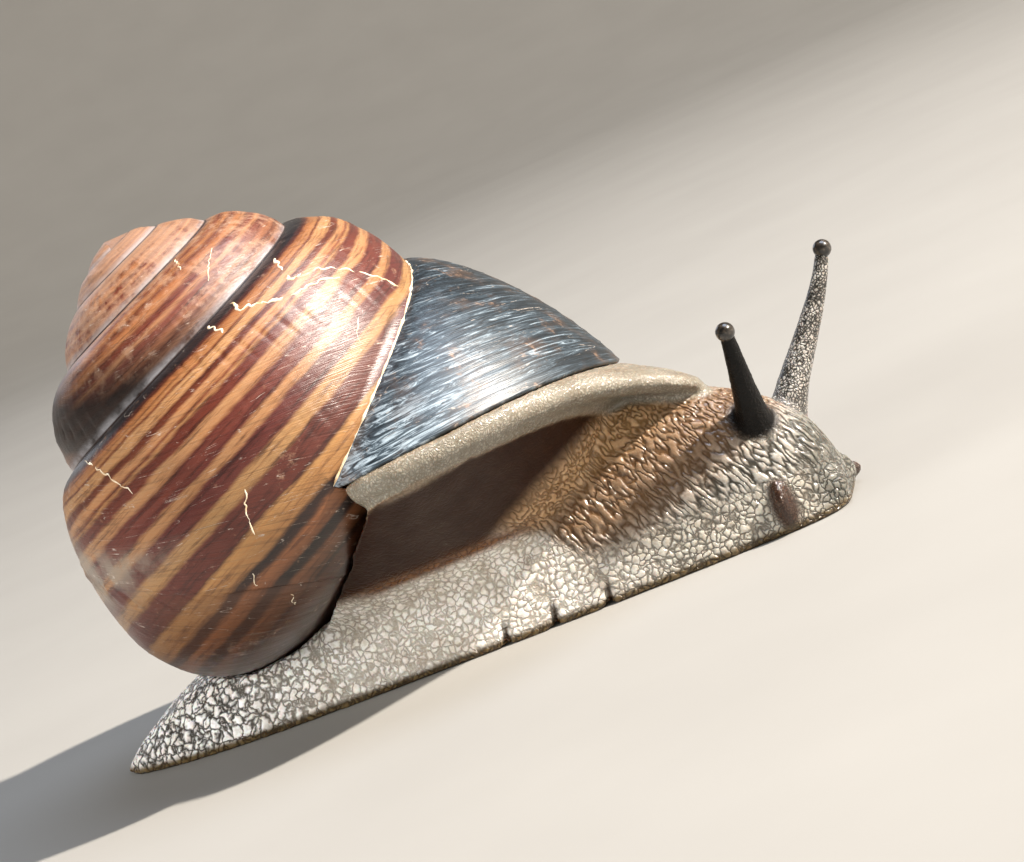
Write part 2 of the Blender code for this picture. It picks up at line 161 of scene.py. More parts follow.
# %% [markdown]
# ## Paper sweep
#
# A studio stands small things on paper that curves up into the background, so that no
# horizon shows. The camera is rolled and other views look from all sides, so this sweep
# is a turned dish: a profile of a flat floor and a quarter circle, spun once round.

# %% Paper sweep
FLOOR_RADIUS = 600.0
SWEEP_RADIUS = 500.0
SWEEP_CLEARANCE = 0.03    # the paper lies this far below the sole
SWEEP_STEPS = 12
PAPER_CLOUDS = 25.0

paper, tree, shader = new_material("pale matt paper")
place = add(tree, "ShaderNodeTexCoord")["Object"]
clouds = add(tree, "ShaderNodeTexNoise", {"Vector": place, "Scale": 1 / (PAPER_CLOUDS * MM),
                                          "Detail": 3.0})["Fac"]
tone = add(tree, "ShaderNodeValToRGB", (clouds,), [(0.0, "#8a8884"), (1.0, "#93918d")])["Color"]
fill(tree, shader, {"Base Color": tone, "Roughness": 0.9})

bm = bmesh.new()
profile = [Vector((FLOOR_RADIUS * k / 4, 0, 0)) for k in range(4)]
for k in range(SWEEP_STEPS + 1):
    turned = pi / 2 * k / SWEEP_STEPS
    profile.append(Vector((FLOOR_RADIUS + SWEEP_RADIUS * sin(turned), 0,
                           SWEEP_RADIUS * (1 - cos(turned)))))
points = [bm.verts.new((point - Vector((0, 0, SWEEP_CLEARANCE))) * MM) for point in profile]
edges = [bm.edges.new(pair) for pair in zip(points, points[1:])]
bmesh.ops.spin(bm, geom=points + edges, cent=(0, 0, 0), axis=(0, 0, 1), angle=TURN, steps=64,
               use_merge=True)
bmesh.ops.remove_doubles(bm, verts=bm.verts, dist=WELD)
bmesh.ops.recalc_face_normals(bm, faces=bm.faces)
sweep = make_piece("paper_sweep", bm, paper)
print("sweep width, m:", round(sweep.dimensions.x, 2))

# %% [markdown]
# ## Studio light
#
# One small disc stands high in front of the head, so that the feeler still throws a shadow
# on the neck and the wet skin glints. A wide panel overhead is what the dark part of the
# shell mirrors. Two panels low down, beside the foot and behind the tail, lift the shadows.
# They would lay a grey veil on wet skin, so nothing mirrors them. A weak one draws the far
# edge, and a faint world lights the rest. Each light is turned to face the snail.

# %% Studio light
LIGHTS = {   # direction from the snail, distance mm, size mm, watts, colour
    "key": (Vector((0.77, -0.03, 0.635)), 900.0, 34.0, 27.0, "#fff5e8"),
    "sky": (Vector((0.33, 0.12, 0.93)), 520.0, 330.0, 1.6, "#dbe9ff"),
    "fill": (Vector((0.10, -0.93, 0.34)), 560.0, 420.0, 1.3, "#fbf8f2"),
    "rear": (Vector((-0.85, -0.44, 0.30)), 560.0, 300.0, 2.8, "#f6f6f4"),
    "back": (Vector((-0.60, 0.70, 0.45)), 600.0, 260.0, 0.3, "#eef3ff"),
}
UNMIRRORED = ("fill", "rear")
WORLD_STRENGTH = 0.07

for name, (direction, distance, size, watts, code) in LIGHTS.items():
    light = bpy.data.lights.new(name, "AREA")
    light.shape = "DISK"
    light.size = size * MM
    light.energy = watts
    light.color = colour(code)[:3]
    lamp = bpy.data.objects.new(name, light)
    lamp.location = TARGET + direction.normalized() * distance * MM
    lamp.rotation_euler = direction.to_track_quat("Z", "Y").to_euler()
    lamp.visible_glossy = name not in UNMIRRORED
    bpy.context.scene.collection.objects.link(lamp)
world = bpy.data.worlds.new("studio")
world.use_nodes = True
world.node_tree.nodes["Background"].inputs["Color"].default_value = colour("#e4ebf2")
world.node_tree.nodes["Background"].inputs["Strength"].default_value = WORLD_STRENGTH
bpy.context.scene.world = world
bpy.context.scene.view_settings.view_transform = "Standard"
print("lights:", ", ".join(LIGHTS))

# %% [markdown]
# ## How the shell coils
#
# A snail's shell is a tube that widens as it turns about an axis. Three rings describe
# one whorl at each growth angle: the suture, where it meets the whorl before, its widest
# ring, and its lowest. Quarter superellipses join them. The same numbers shaped the
# plain solid in the frame, so the fine shell lies exactly on it.

# %% The coil
APEX = Vector((-23.5, -2.4, 41.4))
LEAN_BACK = radians(17.4)
LEAN_RIGHT = radians(3.4)
ZERO_HEADING = radians(16.5)    # growth angle 0 lies this far to the left of forwards
APEX_DEPTH = 0.3
LIP_FLARE = 2.1
PERIPHERY_DROP = 0.8
UMBILICUS_DEPTH = 33.8
LIP_ANGLE = radians(85)         # where the last suture meets the lip
LIP_SWEEP = radians(115)        # the lip falls back this far on its way to the axis
PARIETAL_SWEEP = radians(50)
SPIRE_TURNS = 4
FIRST_ANGLE = LIP_ANGLE - (SPIRE_TURNS + 1) * TURN
LAST_TURN = LIP_ANGLE - TURN

AXIS_UP = Vector((-sin(LEAN_BACK) * cos(LEAN_RIGHT), -sin(LEAN_RIGHT),
                  cos(LEAN_BACK) * cos(LEAN_RIGHT)))
TO_ZERO = Vector((cos(ZERO_HEADING), sin(ZERO_HEADING), 0.0))
TO_ZERO.z = -(TO_ZERO.x * AXIS_UP.x + TO_ZERO.y * AXIS_UP.y) / AXIS_UP.z
TO_ZERO.normalize()
TO_SIDE = AXIS_UP.cross(TO_ZERO)


def shell_point(angle, radius, depth):
    return APEX + radius * (cos(angle) * TO_ZERO - sin(angle) * TO_SIDE) - depth * AXIS_UP


def suture(angle, descends=True):
    """Radius and depth of the seam where a whorl starts."""
    radius = 16.87 * exp(0.0524 * angle - 0.0013 * angle ** 2)
    depth = 17.40 * exp(0.1058 * angle - 0.0004 * angle ** 2)
    if descends and angle > -0.2:
        depth += 1.773 * (angle + 0.2) ** 2
    return radius, depth


def whorl_rings(angle):
    """The suture, the widest ring and the lowest ring of the whorl at one angle."""
    radius, depth = suture(angle + TURN, descends=False)
    late = min(max((angle + pi) / pi, 0.0), 1.4)
    grown = angle + pi
    lowest = (8.0 + 4.0 * late, 35.0 + 1.9 * grown - 0.22 * grown ** 2)
    return suture(angle), (radius + LIP_FLARE * late ** 1.5, depth + PERIPHERY_DROP), lowest


def whorl_profile(angle, band):
    """Radius and depth along a whorl: band 0 is the suture, 1 the widest ring, 2 the
    lowest ring and 3 the axis."""
    start, widest, lowest = whorl_rings(angle)
    if band <= 1:
        late = min(max((angle + pi) / pi, 0.0), 1.0)
        early = min(max(-(angle + 3 * pi) / TURN, 0.0), 1.0)
        power = 2 / (1.9 - 0.4 * late - 0.5 * early)
        turned = band * pi / 2
        return (start[0] + (widest[0] - start[0]) * sin(turned) ** power,
                widest[1] - (widest[1] - start[1]) * max(cos(turned), 0.0) ** power)
    if band <= 2:
        power = 2 / 2.25
        turned = (band - 1) * pi / 2
        return (lowest[0] + (widest[0] - lowest[0]) * max(cos(turned), 0.0) ** power,
                widest[1] + (lowest[1] - widest[1]) * sin(turned) ** power)
    inwards = band - 2
    return (lowest[0] * (1 - inwards),
            lowest[1] + (UMBILICUS_DEPTH - lowest[1]) * inwards ** 1.5)


def covered_from(angle):
    """The band at which the next whorl starts on this one."""
    _, widest, lowest = whorl_rings(angle)
    below = suture(angle + TURN)[1] - widest[1]
    if below <= 0:
        return 1.0
    return 1.0 + asin(min(below / (lowest[1] - widest[1]), 1.0)) * 2 / pi


def lag(band):
    """How far the growing edge falls back, as an angle, on its way down a whorl."""
    return LIP_SWEEP * (1 - exp(-1.15 * band ** 2.2))


print("turns of suture:", round((LIP_ANGLE - FIRST_ANGLE) / TURN, 1))

# %% [markdown]
# ## The shell as two wound sheets
#
# A grid is the easiest sheet to wind: its columns become growth angles and its rows run
# down the whorl. The spire shows only from suture to suture, and the last turn shows down
# to the axis, so each is a grid of its own. Every corner keeps two numbers as a UV map:
# how late it grew, in millimetres at the rim, and its band. A line of growth is then a
# line of constant U and a coloured band one of constant V, which later makes the
# markings simple. After the sheets are welded, the aperture's edge is rolled inwards.

# %% Wind the shell
TURN_COLUMNS = 540
UPPER_ROWS = 16
BASE_ROWS = 34
RIM_MM = 21.0                  # the shell's mean radius turns growth angles into mm
FIRST_STRETCH = 0.25           # share of the last turn over which its edge eases into its own


def pulled(place, wanted, reached, share):
    """A radius and depth, moved by a share of the way from one such pair to another."""
    return [here + (to - start) * share for here, to, start in zip(place, wanted, reached)]


def spire_place(across, down):
    """Growth angle, band, radius and depth of a point between one suture and the next."""
    angle = FIRST_ANGLE + across * (LAST_TURN - FIRST_ANGLE)
    end = covered_from(angle)
    place = pulled(whorl_profile(angle, down * end), suture(angle + TURN),
                   whorl_profile(angle, end), down ** 2)
    return angle, down * end, *place


def last_turn_place(across, down):
    """The same for the last turn, which runs on to the axis."""
    split = UPPER_ROWS / (UPPER_ROWS + BASE_ROWS)
    upper = min(down / split, 1.0)
    lower = max(down - split, 0.0) / (1 - split)
    starts = LAST_TURN - PARIETAL_SWEEP * lower
    angle = starts + (LIP_ANGLE - lag(upper + 2 * lower) - starts) * across
    first = covered_from(LAST_TURN)
    fresh = min(across / FIRST_STRETCH, 1.0)
    edge = first + (1.0 - first) * fresh
    band = upper * edge + (3.0 - edge) * lower
    place = pulled(whorl_profile(angle, band), suture(LIP_ANGLE), whorl_profile(LAST_TURN, first),
                   (1 - fresh) * upper ** 2 * (1 - lower))
    return angle, band, *place


def wind_sheet(bm, columns, rows, place):
    """Add a grid and wind it on the coil, with its growth and band in the UV map."""
    sheet = bmesh.ops.create_grid(bm, x_segments=columns, y_segments=rows, size=0.5)["verts"]
    for vertex in sheet:
        angle, band, radius, depth = place(vertex.co.x + 0.5, 0.5 - vertex.co.y)
        point = shell_point(angle, radius, depth)
        above = (point - shell_point(angle, *suture(angle))).length
        below = (point - shell_point(angle, *suture(angle + TURN))).length
        is_last = place is last_turn_place
        vertex[seam_layer] = above if is_last else min(above, below)
        vertex[growth_layer] = (angle + lag(band)) * RIM_MM
        vertex[band_layer] = band
        vertex.co = point * MM
    for face in {face for vertex in sheet for face in vertex.link_faces}:
        for loop in face.loops:
            loop[uv_layer].uv = (loop.vert[growth_layer], loop.vert[band_layer])


bm = bmesh.new()
LAYERS = ("growth", "band", "seam")
for name in LAYERS:
    bm.verts.layers.float.new(name)
growth_layer, band_layer, seam_layer = [bm.verts.layers.float[name] for name in LAYERS]
uv_layer = bm.loops.layers.uv.new("growth_and_band")
wind_sheet(bm, SPIRE_TURNS * TURN_COLUMNS, UPPER_ROWS, spire_place)
wind_sheet(bm, TURN_COLUMNS, UPPER_ROWS + BASE_ROWS, last_turn_place)
bmesh.ops.remove_doubles(bm, verts=bm.verts, dist=WELD)
bmesh.ops.recalc_face_normals(bm, faces=bm.faces)
print("shell faces:", len(bm.faces), " open edges:", sum(e.is_boundary for e in bm.edges))

# %% [markdown]
# ## Growth ridges, rest lines and the lip
#
# A shell is laid down edge by edge, so its surface is never smooth: fine ridges run
# across the whorls, and where the snail rested for a season the edge left a step. These
# could be painted as bump, but their outline shows against the light, so the corners
# move along their normals by noise that is stretched down the whorl. Near a suture the
# relief dies away, so that the whorls stay welded.

# %% Ridges, dents and the lip
REST_LINES = {-143.0: 0.16, -20.0: 0.10, -262.0: 0.07, -330.0: 0.06, -455.0: 0.07, -520.0: 0.06}
REST_WIDTH = 0.35
RIDGE_HEIGHT = 0.050
DENT_HEIGHT = 0.13
RELIEF_FADE = 1.6           # mm from a suture over which the relief dies away
FAR_FROM_SEAM = 5.0         # what the corners that close the apex keep as their distance
APEX_BAND = 0.8
LIP_DROP = Vector((0.35, -0.20, -0.915))    # the way the aperture faces
LIP_ROLL = ((0.985, -0.15), (0.95, 0.25), (0.93, 1.6), (0.0, 0.6))    # scale, and mm inwards


def eased(values, low, high):
    """0 below low, 1 above high, and smooth between; low may be the larger. It takes a
    number or an array."""
    t = np.clip((values - low) / (high - low), 0, 1)
    return t * t * (3 - 2 * t)


def growth_relief(growth, band):
    """Height in mm of the shell's relief."""
    ridges = noise.noise(Vector((growth / 0.9, band * 2.0, 3.0)))
    ridges += 0.6 * noise.noise(Vector((growth / 0.45, band * 3.5, 17.0)))
    patches = 0.55 + 0.75 * noise.noise(Vector((growth / 7.0, band * 2.5, 41.0)))
    dents = noise.noise(Vector((growth / 8.0, band * 2.2, 29.0)))
    height = RIDGE_HEIGHT * ridges * max(patches, 0.1) + DENT_HEIGHT * dents
    for place, depth in REST_LINES.items():
        away = (growth - radians(place) * RIM_MM) / REST_WIDTH
        height += depth * (exp(-away ** 2) - 1.3 * exp(-(away - 1.6) ** 2))
    return height


def extruded_ring(bm, edges):
    """A new ring of edges grown from a ring of open ones, and its corners."""
    grown = bmesh.ops.extrude_edge_only(bm, edges=edges)["geom"]
    return ([item for item in grown if isinstance(item, bmesh.types.BMEdge)],
            [item for item in grown if isinstance(item, bmesh.types.BMVert)])


bm.normal_update()
moves = [vertex.normal * growth_relief(vertex[growth_layer], vertex[band_layer])
         * eased(vertex[seam_layer], 0.0, RELIEF_FADE) * MM for vertex in bm.verts]
for vertex, move in zip(bm.verts, moves):
    vertex.co += move

apex_point = shell_point(0.0, 0.0, APEX_DEPTH) * MM
open_edges = [edge for edge in bm.edges if edge.is_boundary]
apex_edges = [edge for edge in open_edges if (edge.verts[0].co - apex_point).length < 4 * MM]
lip_edges = [edge for edge in open_edges if edge not in set(apex_edges)]
for share in (0.5, 0.0):
    apex_edges, ring = extruded_ring(bm, apex_edges)
    for vertex in ring:
        vertex.co = apex_point.lerp(vertex.co, share)
        vertex[seam_layer] = FAR_FROM_SEAM
for face in bm.faces:
    for loop in face.loops:
        if loop.vert[seam_layer] == FAR_FROM_SEAM:
            loop[uv_layer].uv = (FIRST_ANGLE * RIM_MM, APEX_BAND)
middle = sum((edge.verts[0].co for edge in lip_edges), Vector()) / len(lip_edges)
for inwards, back in LIP_ROLL:
    lip_edges, ring = extruded_ring(bm, lip_edges)
    for vertex in ring:
        vertex.co = middle.lerp(vertex.co, inwards) - LIP_DROP * back * MM
bmesh.ops.remove_doubles(bm, verts=bm.verts, dist=WELD)
bmesh.ops.dissolve_degenerate(bm, edges=bm.edges, dist=WELD)
bmesh.ops.recalc_face_normals(bm, faces=bm.faces)
print("shell triangles:", sum(len(f.verts) - 2 for f in bm.faces),
      " open edges:", sum(e.is_boundary for e in bm.edges))

# %% [markdown]
# ## Suture thread and scars
#
# Where the last whorl is glued to the one before, its edge dries as a thin cream thread.
# The shell's face also carries a few healed cracks, pale and slightly raised. Both are
# thin lines in relief, which a curve with a round bevel gives, its radius swelling and
# thinning by noise. Their routes are written as growth angles and bands, so they lie on
# the shell wherever it is.

# %% Thread and scars
SCARS = [   # radius mm, then degrees of growth angle and band
    (0.11, (-314, 0.17), (-309, 0.33), (-307, 0.42), (-315, 0.50), (-321, 0.62), (-327, 0.80),
     (-333, 0.98)),
    (0.10, (-291, 0.12), (-290, 0.27), (-296, 0.40), (-303, 0.50), (-311, 0.55), (-318, 0.66)),
    (0.09, (-280, 0.10), (-281, 0.20), (-282, 0.33)),
    (0.07, (-216, 0.14), (-224, 0.28), (-230, 0.44), (-236, 0.61)),
    (0.06, (-260, 0.96), (-256, 1.03), (-254, 1.13)),
    (0.05, (-310, 0.84), (-306, 0.88), (-304, 0.94)),
    (0.05, (-246, 1.21), (-245, 1.27), (-243, 1.30)),
    (0.05, (-246, 1.47), (-245, 1.52), (-242, 1.57)),
    (0.06, (-655, 0.12), (-652, 0.30), (-648, 0.42)),
    (0.04, (-668, 0.45), (-660, 0.52), (-652, 0.66)),
]
SCAR_STEPS = 12              # from one place of its route to the next
SCAR_SHAKE = (1.3, 0.022)    # degrees and bands
SUNK = 0.32                  # share of a scar's radius that lies under the surface
THREAD_RADIUS = 0.12
THREAD_SWEEP = radians(150)
THREAD_STEPS = 240
THREAD_SHAKE = 0.05


def surface_place(growth_angle, band):
    """A place on the smooth shell, from degrees of growth and a band."""
    angle = radians(growth_angle)
    return shell_point(angle, *whorl_profile(angle, band))


shell_surface = BVHTree.FromBMesh(bm)


def wandering(route, sunk):
    """Points along a route of angles and bands, with a little noise, sunk in the surface."""
    points = []
    for (angle, band), (next_angle, next_band) in zip(route, route[1:]):
        for k in range(SCAR_STEPS):
            t = k / SCAR_STEPS
            here = Vector((angle + (next_angle - angle) * t, band + (next_band - band) * t, 0))
            shake = noise.noise_vector(Vector((here.x * 0.8, here.y * 21.0, 5.0)))
            spot = surface_place(here.x + SCAR_SHAKE[0] * shake.x,
                                 max(here.y + SCAR_SHAKE[1] * shake.y, 0.02))
            found, normal, _, _ = shell_surface.find_nearest(spot * MM)
            points.append(found / MM - normal * sunk)
    return points


def add_line(curve, points, radius):
    spline = curve.splines.new("POLY")
    spline.points.add(len(points) - 1)
    for k, point in enumerate(points):
        spline.points[k].co = (*(point * MM), 1)
        ends = min(k, len(points) - 1 - k) / 3
        swell = 0.85 + 1.3 * noise.noise(point * 1.5)
        spline.points[k].radius = radius * max(swell, 0.2) * min(0.15 + ends, 1.0)


curve = bpy.data.curves.new("pale_lines", "CURVE")
curve.dimensions = "3D"
curve.bevel_depth = MM
curve.bevel_resolution = 1
curve.use_fill_caps = True
for radius, *route in SCARS:
    add_line(curve, wandering(route, radius * SUNK), radius)
thread_angles = [LIP_ANGLE - THREAD_SWEEP * (1 - k / THREAD_STEPS) for k in range(THREAD_STEPS + 1)]
thread = [shell_point(angle, *suture(angle)) for angle in thread_angles]
add_line(curve, [point + THREAD_SHAKE * noise.noise_vector(point * 1.1) for point in thread],
         THREAD_RADIUS)
helper = bpy.data.objects.new("pale_lines", curve)
pale_lines = bpy.data.meshes.new_from_object(helper)
bpy.data.objects.remove(helper)
print("pale lines:", len(curve.splines), " faces:", len(pale_lines.polygons))

# %% [markdown]
# ## Shell finish: places and layers
#
# Snail shell is layered chalk under a thin horny skin that looks varnished when wet. Its
# finish is a stack of colours, each laid over those before it by a share from 0 to 1, the
# way a painter lays glazes. A share says where a mark lies: how late the shell grew there,
# in which band, and in which clouds of noise. A painted picture would blur close up, so
# the shares are worked out from the UV map, with one node for each step of a sum.

# %% Places and layers
shell_finish, tree, shader = new_material("banded shell under its horny skin")
uv = add(tree, "ShaderNodeUVMap", uv_map="growth_and_band")
axes = add(tree, "ShaderNodeSeparateXYZ", (uv,))
growth, band = axes["X"], axes["Y"]
place = add(tree, "ShaderNodeTexCoord")["Object"]


def layered(tree, below, *layers):
    """Layers over a colour. Each is a share, a colour and how they blend."""
    for share, above, blend in layers:
        above = colour(above) if isinstance(above, str) else above
        below = add(tree, "ShaderNodeMix", (share, below, above), data_type="RGBA",
                    blend_type=blend)
    return below


def drawn_noise(length, to_a_band, detail, roughness=0.5, distortion=0.0):
    """Noise in clouds this many mm long as the shell grew, and so many of them to a band."""
    drawn = add(tree, "ShaderNodeVectorMath", (uv, (1 / length, to_a_band, 0)),
                operation="MULTIPLY")
    return add(tree, "ShaderNodeTexNoise",
               {"Vector": drawn, "Scale": 1.0, "Detail": detail, "Roughness": roughness,
                "Distortion": distortion}, noise_dimensions="2D")["Fac"]


def grown_between(start, end, first=0.0, last=1.0):
    """0 to 1, or first to last, while the shell grew from one growth angle to another."""
    return add(tree, "ShaderNodeMapRange",
               (growth, radians(start) * RIM_MM, radians(end) * RIM_MM, first, last))


def share_of(*parts):
    """Shares multiplied together."""
    product, *others = parts
    for other in others:
        product = add(tree, "ShaderNodeMath", (product, other), operation="MULTIPLY")
    return product


print("a turn at the rim, mm:", round(TURN * RIM_MM, 1))

# %% [markdown]
# ## Shell finish: bands
#
# The colours lie in spiral bands that the mantle laid down as it grew: dark lines on orange
# near the suture, broad maroon bands round the middle and brown below. They are colour
# ramps along V, which noise makes waver. The spire and the base have ramps of their own.

# %% Bands of the shell
BODY_BANDS = [(0.0, "#201e21"), (0.17, "#201a1c"), (0.215, "#492216"), (0.245, "#8c5a35"),
              (0.305, "#976a43"), (0.322, "#65351f"), (0.342, "#a37b54"), (0.398, "#a87e55"),
              (0.418, "#552718"), (0.448, "#63321f"), (0.466, "#a67a55"), (0.500, "#a1734d"),
              (0.515, "#6d3a25"), (0.532, "#9b714a"), (0.552, "#58271c"), (0.598, "#5f2b1e"),
              (0.618, "#a27a55"), (0.660, "#9d724d"), (0.682, "#57251d"), (0.715, "#632f24"),
              (0.760, "#54221c"), (0.778, "#9b724d"), (0.812, "#976d48"), (0.832, "#51201c"),
              (0.908, "#56261f"), (0.930, "#9b764d"), (0.982, "#96724a"), (1.000, "#56261d"),
              (1.10, "#522218")]
BASE_BANDS = [(1.10, "#401911"), (1.118, "#a47a4a"), (1.218, "#91683e"), (1.240, "#261009"),
              (1.275, "#2b140b"), (1.30, "#895734"), (1.36, "#73482a"), (1.38, "#1d0d07"),
              (1.43, "#1e0d07"), (1.46, "#734a2f"), (1.55, "#4a2e1b"), (1.565, "#1d0c06"),
              (1.60, "#462917"), (1.70, "#3d2113"), (1.745, "#150804"), (3.0, "#150704")]
# The spire's last stop, pale grey where a whorl meets the next suture, is part of the painted rim
# highlight.
SPIRE_BANDS = [(0.0, "#2b1e19"), (0.06, "#5e3829"), (0.14, "#8d6241"), (0.22, "#6e3d29"),
               (0.29, "#98663f"), (0.36, "#643625"), (0.42, "#95603b"), (0.47, "#996a47"),
               (0.51, "#643626"), (0.56, "#6a3325"), (0.60, "#9e7250"), (0.65, "#6a382c"),
               (0.71, "#714535"), (0.76, "#8f5f42"), (0.82, "#5c3222"), (0.88, "#8a6148"),
               (0.94, "#6a4234"), (1.0, "#928279")]
BAND_WAVER = 0.024             # a band strays this far, as a share of the whorl's upper part


def banding(bands):
    """The bands' colours, over the stretch that their list covers."""
    low, high = bands[0][0], bands[-1][0]
    along = add(tree, "ShaderNodeMapRange", (wavy_band, low, high))
    stops = [((where - low) / (high - low), code) for where, code in bands]
    return add(tree, "ShaderNodeValToRGB", (along,), stops)["Color"]


waver = add(tree, "ShaderNodeMapRange",
            (drawn_noise(6.0, 5.0, 5.0, 0.65), 0.0, 1.0, -BAND_WAVER, BAND_WAVER))
wavy_band = add(tree, "ShaderNodeMath", (band, waver), operation="ADD")
is_base = add(tree, "ShaderNodeMath", (wavy_band, BODY_BANDS[-1][0]), operation="GREATER_THAN")
whorl = layered(tree, banding(BODY_BANDS), (is_base, banding(BASE_BANDS), "MIX"))
coloured = layered(tree, banding(SPIRE_BANDS), (grown_between(-445, -395), whorl, "MIX"))
print("bands, spire to base:", len(SPIRE_BANDS), len(BODY_BANDS), len(BASE_BANDS))

# %% [markdown]
# ## Shell finish: streaks and the brown base
#
# Growth leaves streaks across the bands, half a millimetre apart, and fine lines run along
# the whorl where one cell of the mantle's edge went on working. Both are noise, drawn out
# in the UV map. Past the last rest line the lower bands run together in brown, darker
# towards the bottom: partly the base's own colour and partly painted shade where the whorl
# turns away underneath. Higher up, along the far edge of the last whorl, a pale grey patch
# is a painted sheen.

# %% Streaks, base with painted shade, and painted edge sheen
streaks = drawn_noise(0.5, 3.0, 6.0, 0.7)
threads = drawn_noise(7.0, 34.0, 4.0, 0.7)
blotches = add(tree, "ShaderNodeTexNoise", {"Vector": place, "Scale": 1 / (3.2 * MM),
                                            "Detail": 5.0, "Roughness": 0.62})["Fac"]
streak_tone = add(tree, "ShaderNodeValToRGB", (streaks,),
                  [(0.25, "#8c8480"), (0.50, "#ffffff"), (0.75, "#fff2e0")])["Color"]
thread_tone = add(tree, "ShaderNodeValToRGB", (threads,),
                  [(0.30, "#7a5a50"), (0.47, "#f2e6dc"), (0.55, "#ffffff"),
                   (0.72, "#ffe9cf")])["Color"]
# Painted shade over the base's own brown: darker towards the bottom of the last whorl.
low_brown_and_shade = add(tree, "ShaderNodeMapRange", (wavy_band, 0.80, 1.12, 0.0, 0.45))
brown = share_of(grown_between(-146, -141), low_brown_and_shade)
patchy = add(tree, "ShaderNodeMapRange", (blotches, 0.40, 0.56, 0.0, 0.75))
higher = add(tree, "ShaderNodeMapRange", (wavy_band, 0.98, 0.80))
# Painted sheen: a pale grey patch along the grazing far edge of the last whorl.
painted_edge_sheen = share_of(grown_between(-174, -160), grown_between(-110, -135), patchy, higher)
coloured = layered(tree, coloured, (0.6, streak_tone, "MULTIPLY"), (0.75, thread_tone, "MULTIPLY"),
                   (brown, "#4f2c16", "MIX"), (painted_edge_sheen, "#8a7f71", "MIX"))
print("shell nodes with its streaks:", len(tree.nodes))

# %% [markdown]
# ## Shell finish: the slate part
#
# The last third of a turn is slate black under a pale bloom. Short dashes of noise, bent
# and mixed with the growth streaks, break the bloom up. Towards the lip and up the whorl a
# painted sheen pales it further, the broad reflection of the sky in the dark shell, and the
# bluish tint of its pale streaks is partly painted reflection too. A breath of brown shows
# through in blotches.

# %% Slate part
SLATE_STARTS = (-38, -32)      # growth angles, in degrees

dashes = drawn_noise(0.75, 7.0, 6.0, 0.75, distortion=1.3)
faint_streaks = add(tree, "ShaderNodeMath", (streaks, 0.55, 0.22), operation="MULTIPLY_ADD")
dashes = add(tree, "ShaderNodeMath", (dashes, faint_streaks), operation="ADD")
upper = add(tree, "ShaderNodeMapRange", (wavy_band, 0.78, 0.42))
# Painted sheen: paler towards the lip and up the whorl, in place of the sky's broad reflection.
painted_sky_sheen = share_of(grown_between(34, 74), upper)
bloom_and_sheen = add(tree, "ShaderNodeMath", (painted_sky_sheen, 0.17, dashes), operation="MULTIPLY_ADD")
bloom_and_sheen = add(tree, "ShaderNodeMath", (bloom_and_sheen, 0.5), operation="MULTIPLY")
# The ramp's pale bluish end is partly the bloom's own colour and partly painted reflection.
slate = add(tree, "ShaderNodeValToRGB", (bloom_and_sheen,),
            [(0.39, "#0a0e11"), (0.50, "#192127"), (0.57, "#3a464f"), (0.65, "#9ba9b3")])["Color"]
brown = add(tree, "ShaderNodeMapRange", (blotches, 0.50, 0.68, 0.0, 0.55))
slate = layered(tree, slate, (brown, "#4a382c", "MIX"))
coloured = layered(tree, coloured, (grown_between(*SLATE_STARTS), slate, "MIX"))
print("shell nodes with its slate part:", len(tree.nodes))

# %% [markdown]
# ## Shell finish: wear
#
# The older the shell, the more of its horny skin is rubbed away, in small flecks. Hairline
# scratches lie where a wide noise passes its middle, and the flecks break them up. One
# stretch of the spire is darker, partly its own colour and partly painted shade on the side
# turned from the light. Just above each suture the whorl's edge has a pale grey rim, a
# painted highlight where the rounded edge catches the light, and in the suture itself lies
# a dark line.

# %% Wear, scratches, painted shade and painted rim highlights
# The pale rim above each suture is a painted highlight; this is its width.
RIM_HIGHLIGHT_WIDTH = 0.85                # mm, the width of the rim above a suture

flecks = add(tree, "ShaderNodeTexNoise", {"Vector": place, "Scale": 1 / (1.1 * MM),
                                          "Detail": 6.0, "Roughness": 0.72})["Fac"]
rubbed = add(tree, "ShaderNodeMath", (blotches, 0.6, flecks), operation="MULTIPLY_ADD")
older = grown_between(-330, -1250, 0.02, 0.40)
rubbed = add(tree, "ShaderNodeMath", (rubbed, older), operation="ADD")
wear = add(tree, "ShaderNodeMapRange", (rubbed, 0.94, 1.10, 0.0, 0.50))

off_middle = add(tree, "ShaderNodeMath", (drawn_noise(2.6, 2.6, 2.0), 0.5), operation="SUBTRACT")
off_middle = add(tree, "ShaderNodeMath", (off_middle,), operation="ABSOLUTE")
hairlines = add(tree, "ShaderNodeMapRange", (off_middle, 0.007, 0.002, 0.0, 0.8))
scratches = share_of(hairlines, add(tree, "ShaderNodeMapRange", (flecks, 0.50, 0.60)))
# Painted shade over some dark colour of its own: a stretch of the spire darkened where it turns from
# the light.
stain_and_shade = share_of(grown_between(-590, -540), grown_between(-470, -500))

seam = add(tree, "ShaderNodeAttribute", attribute_name="seam")["Fac"]
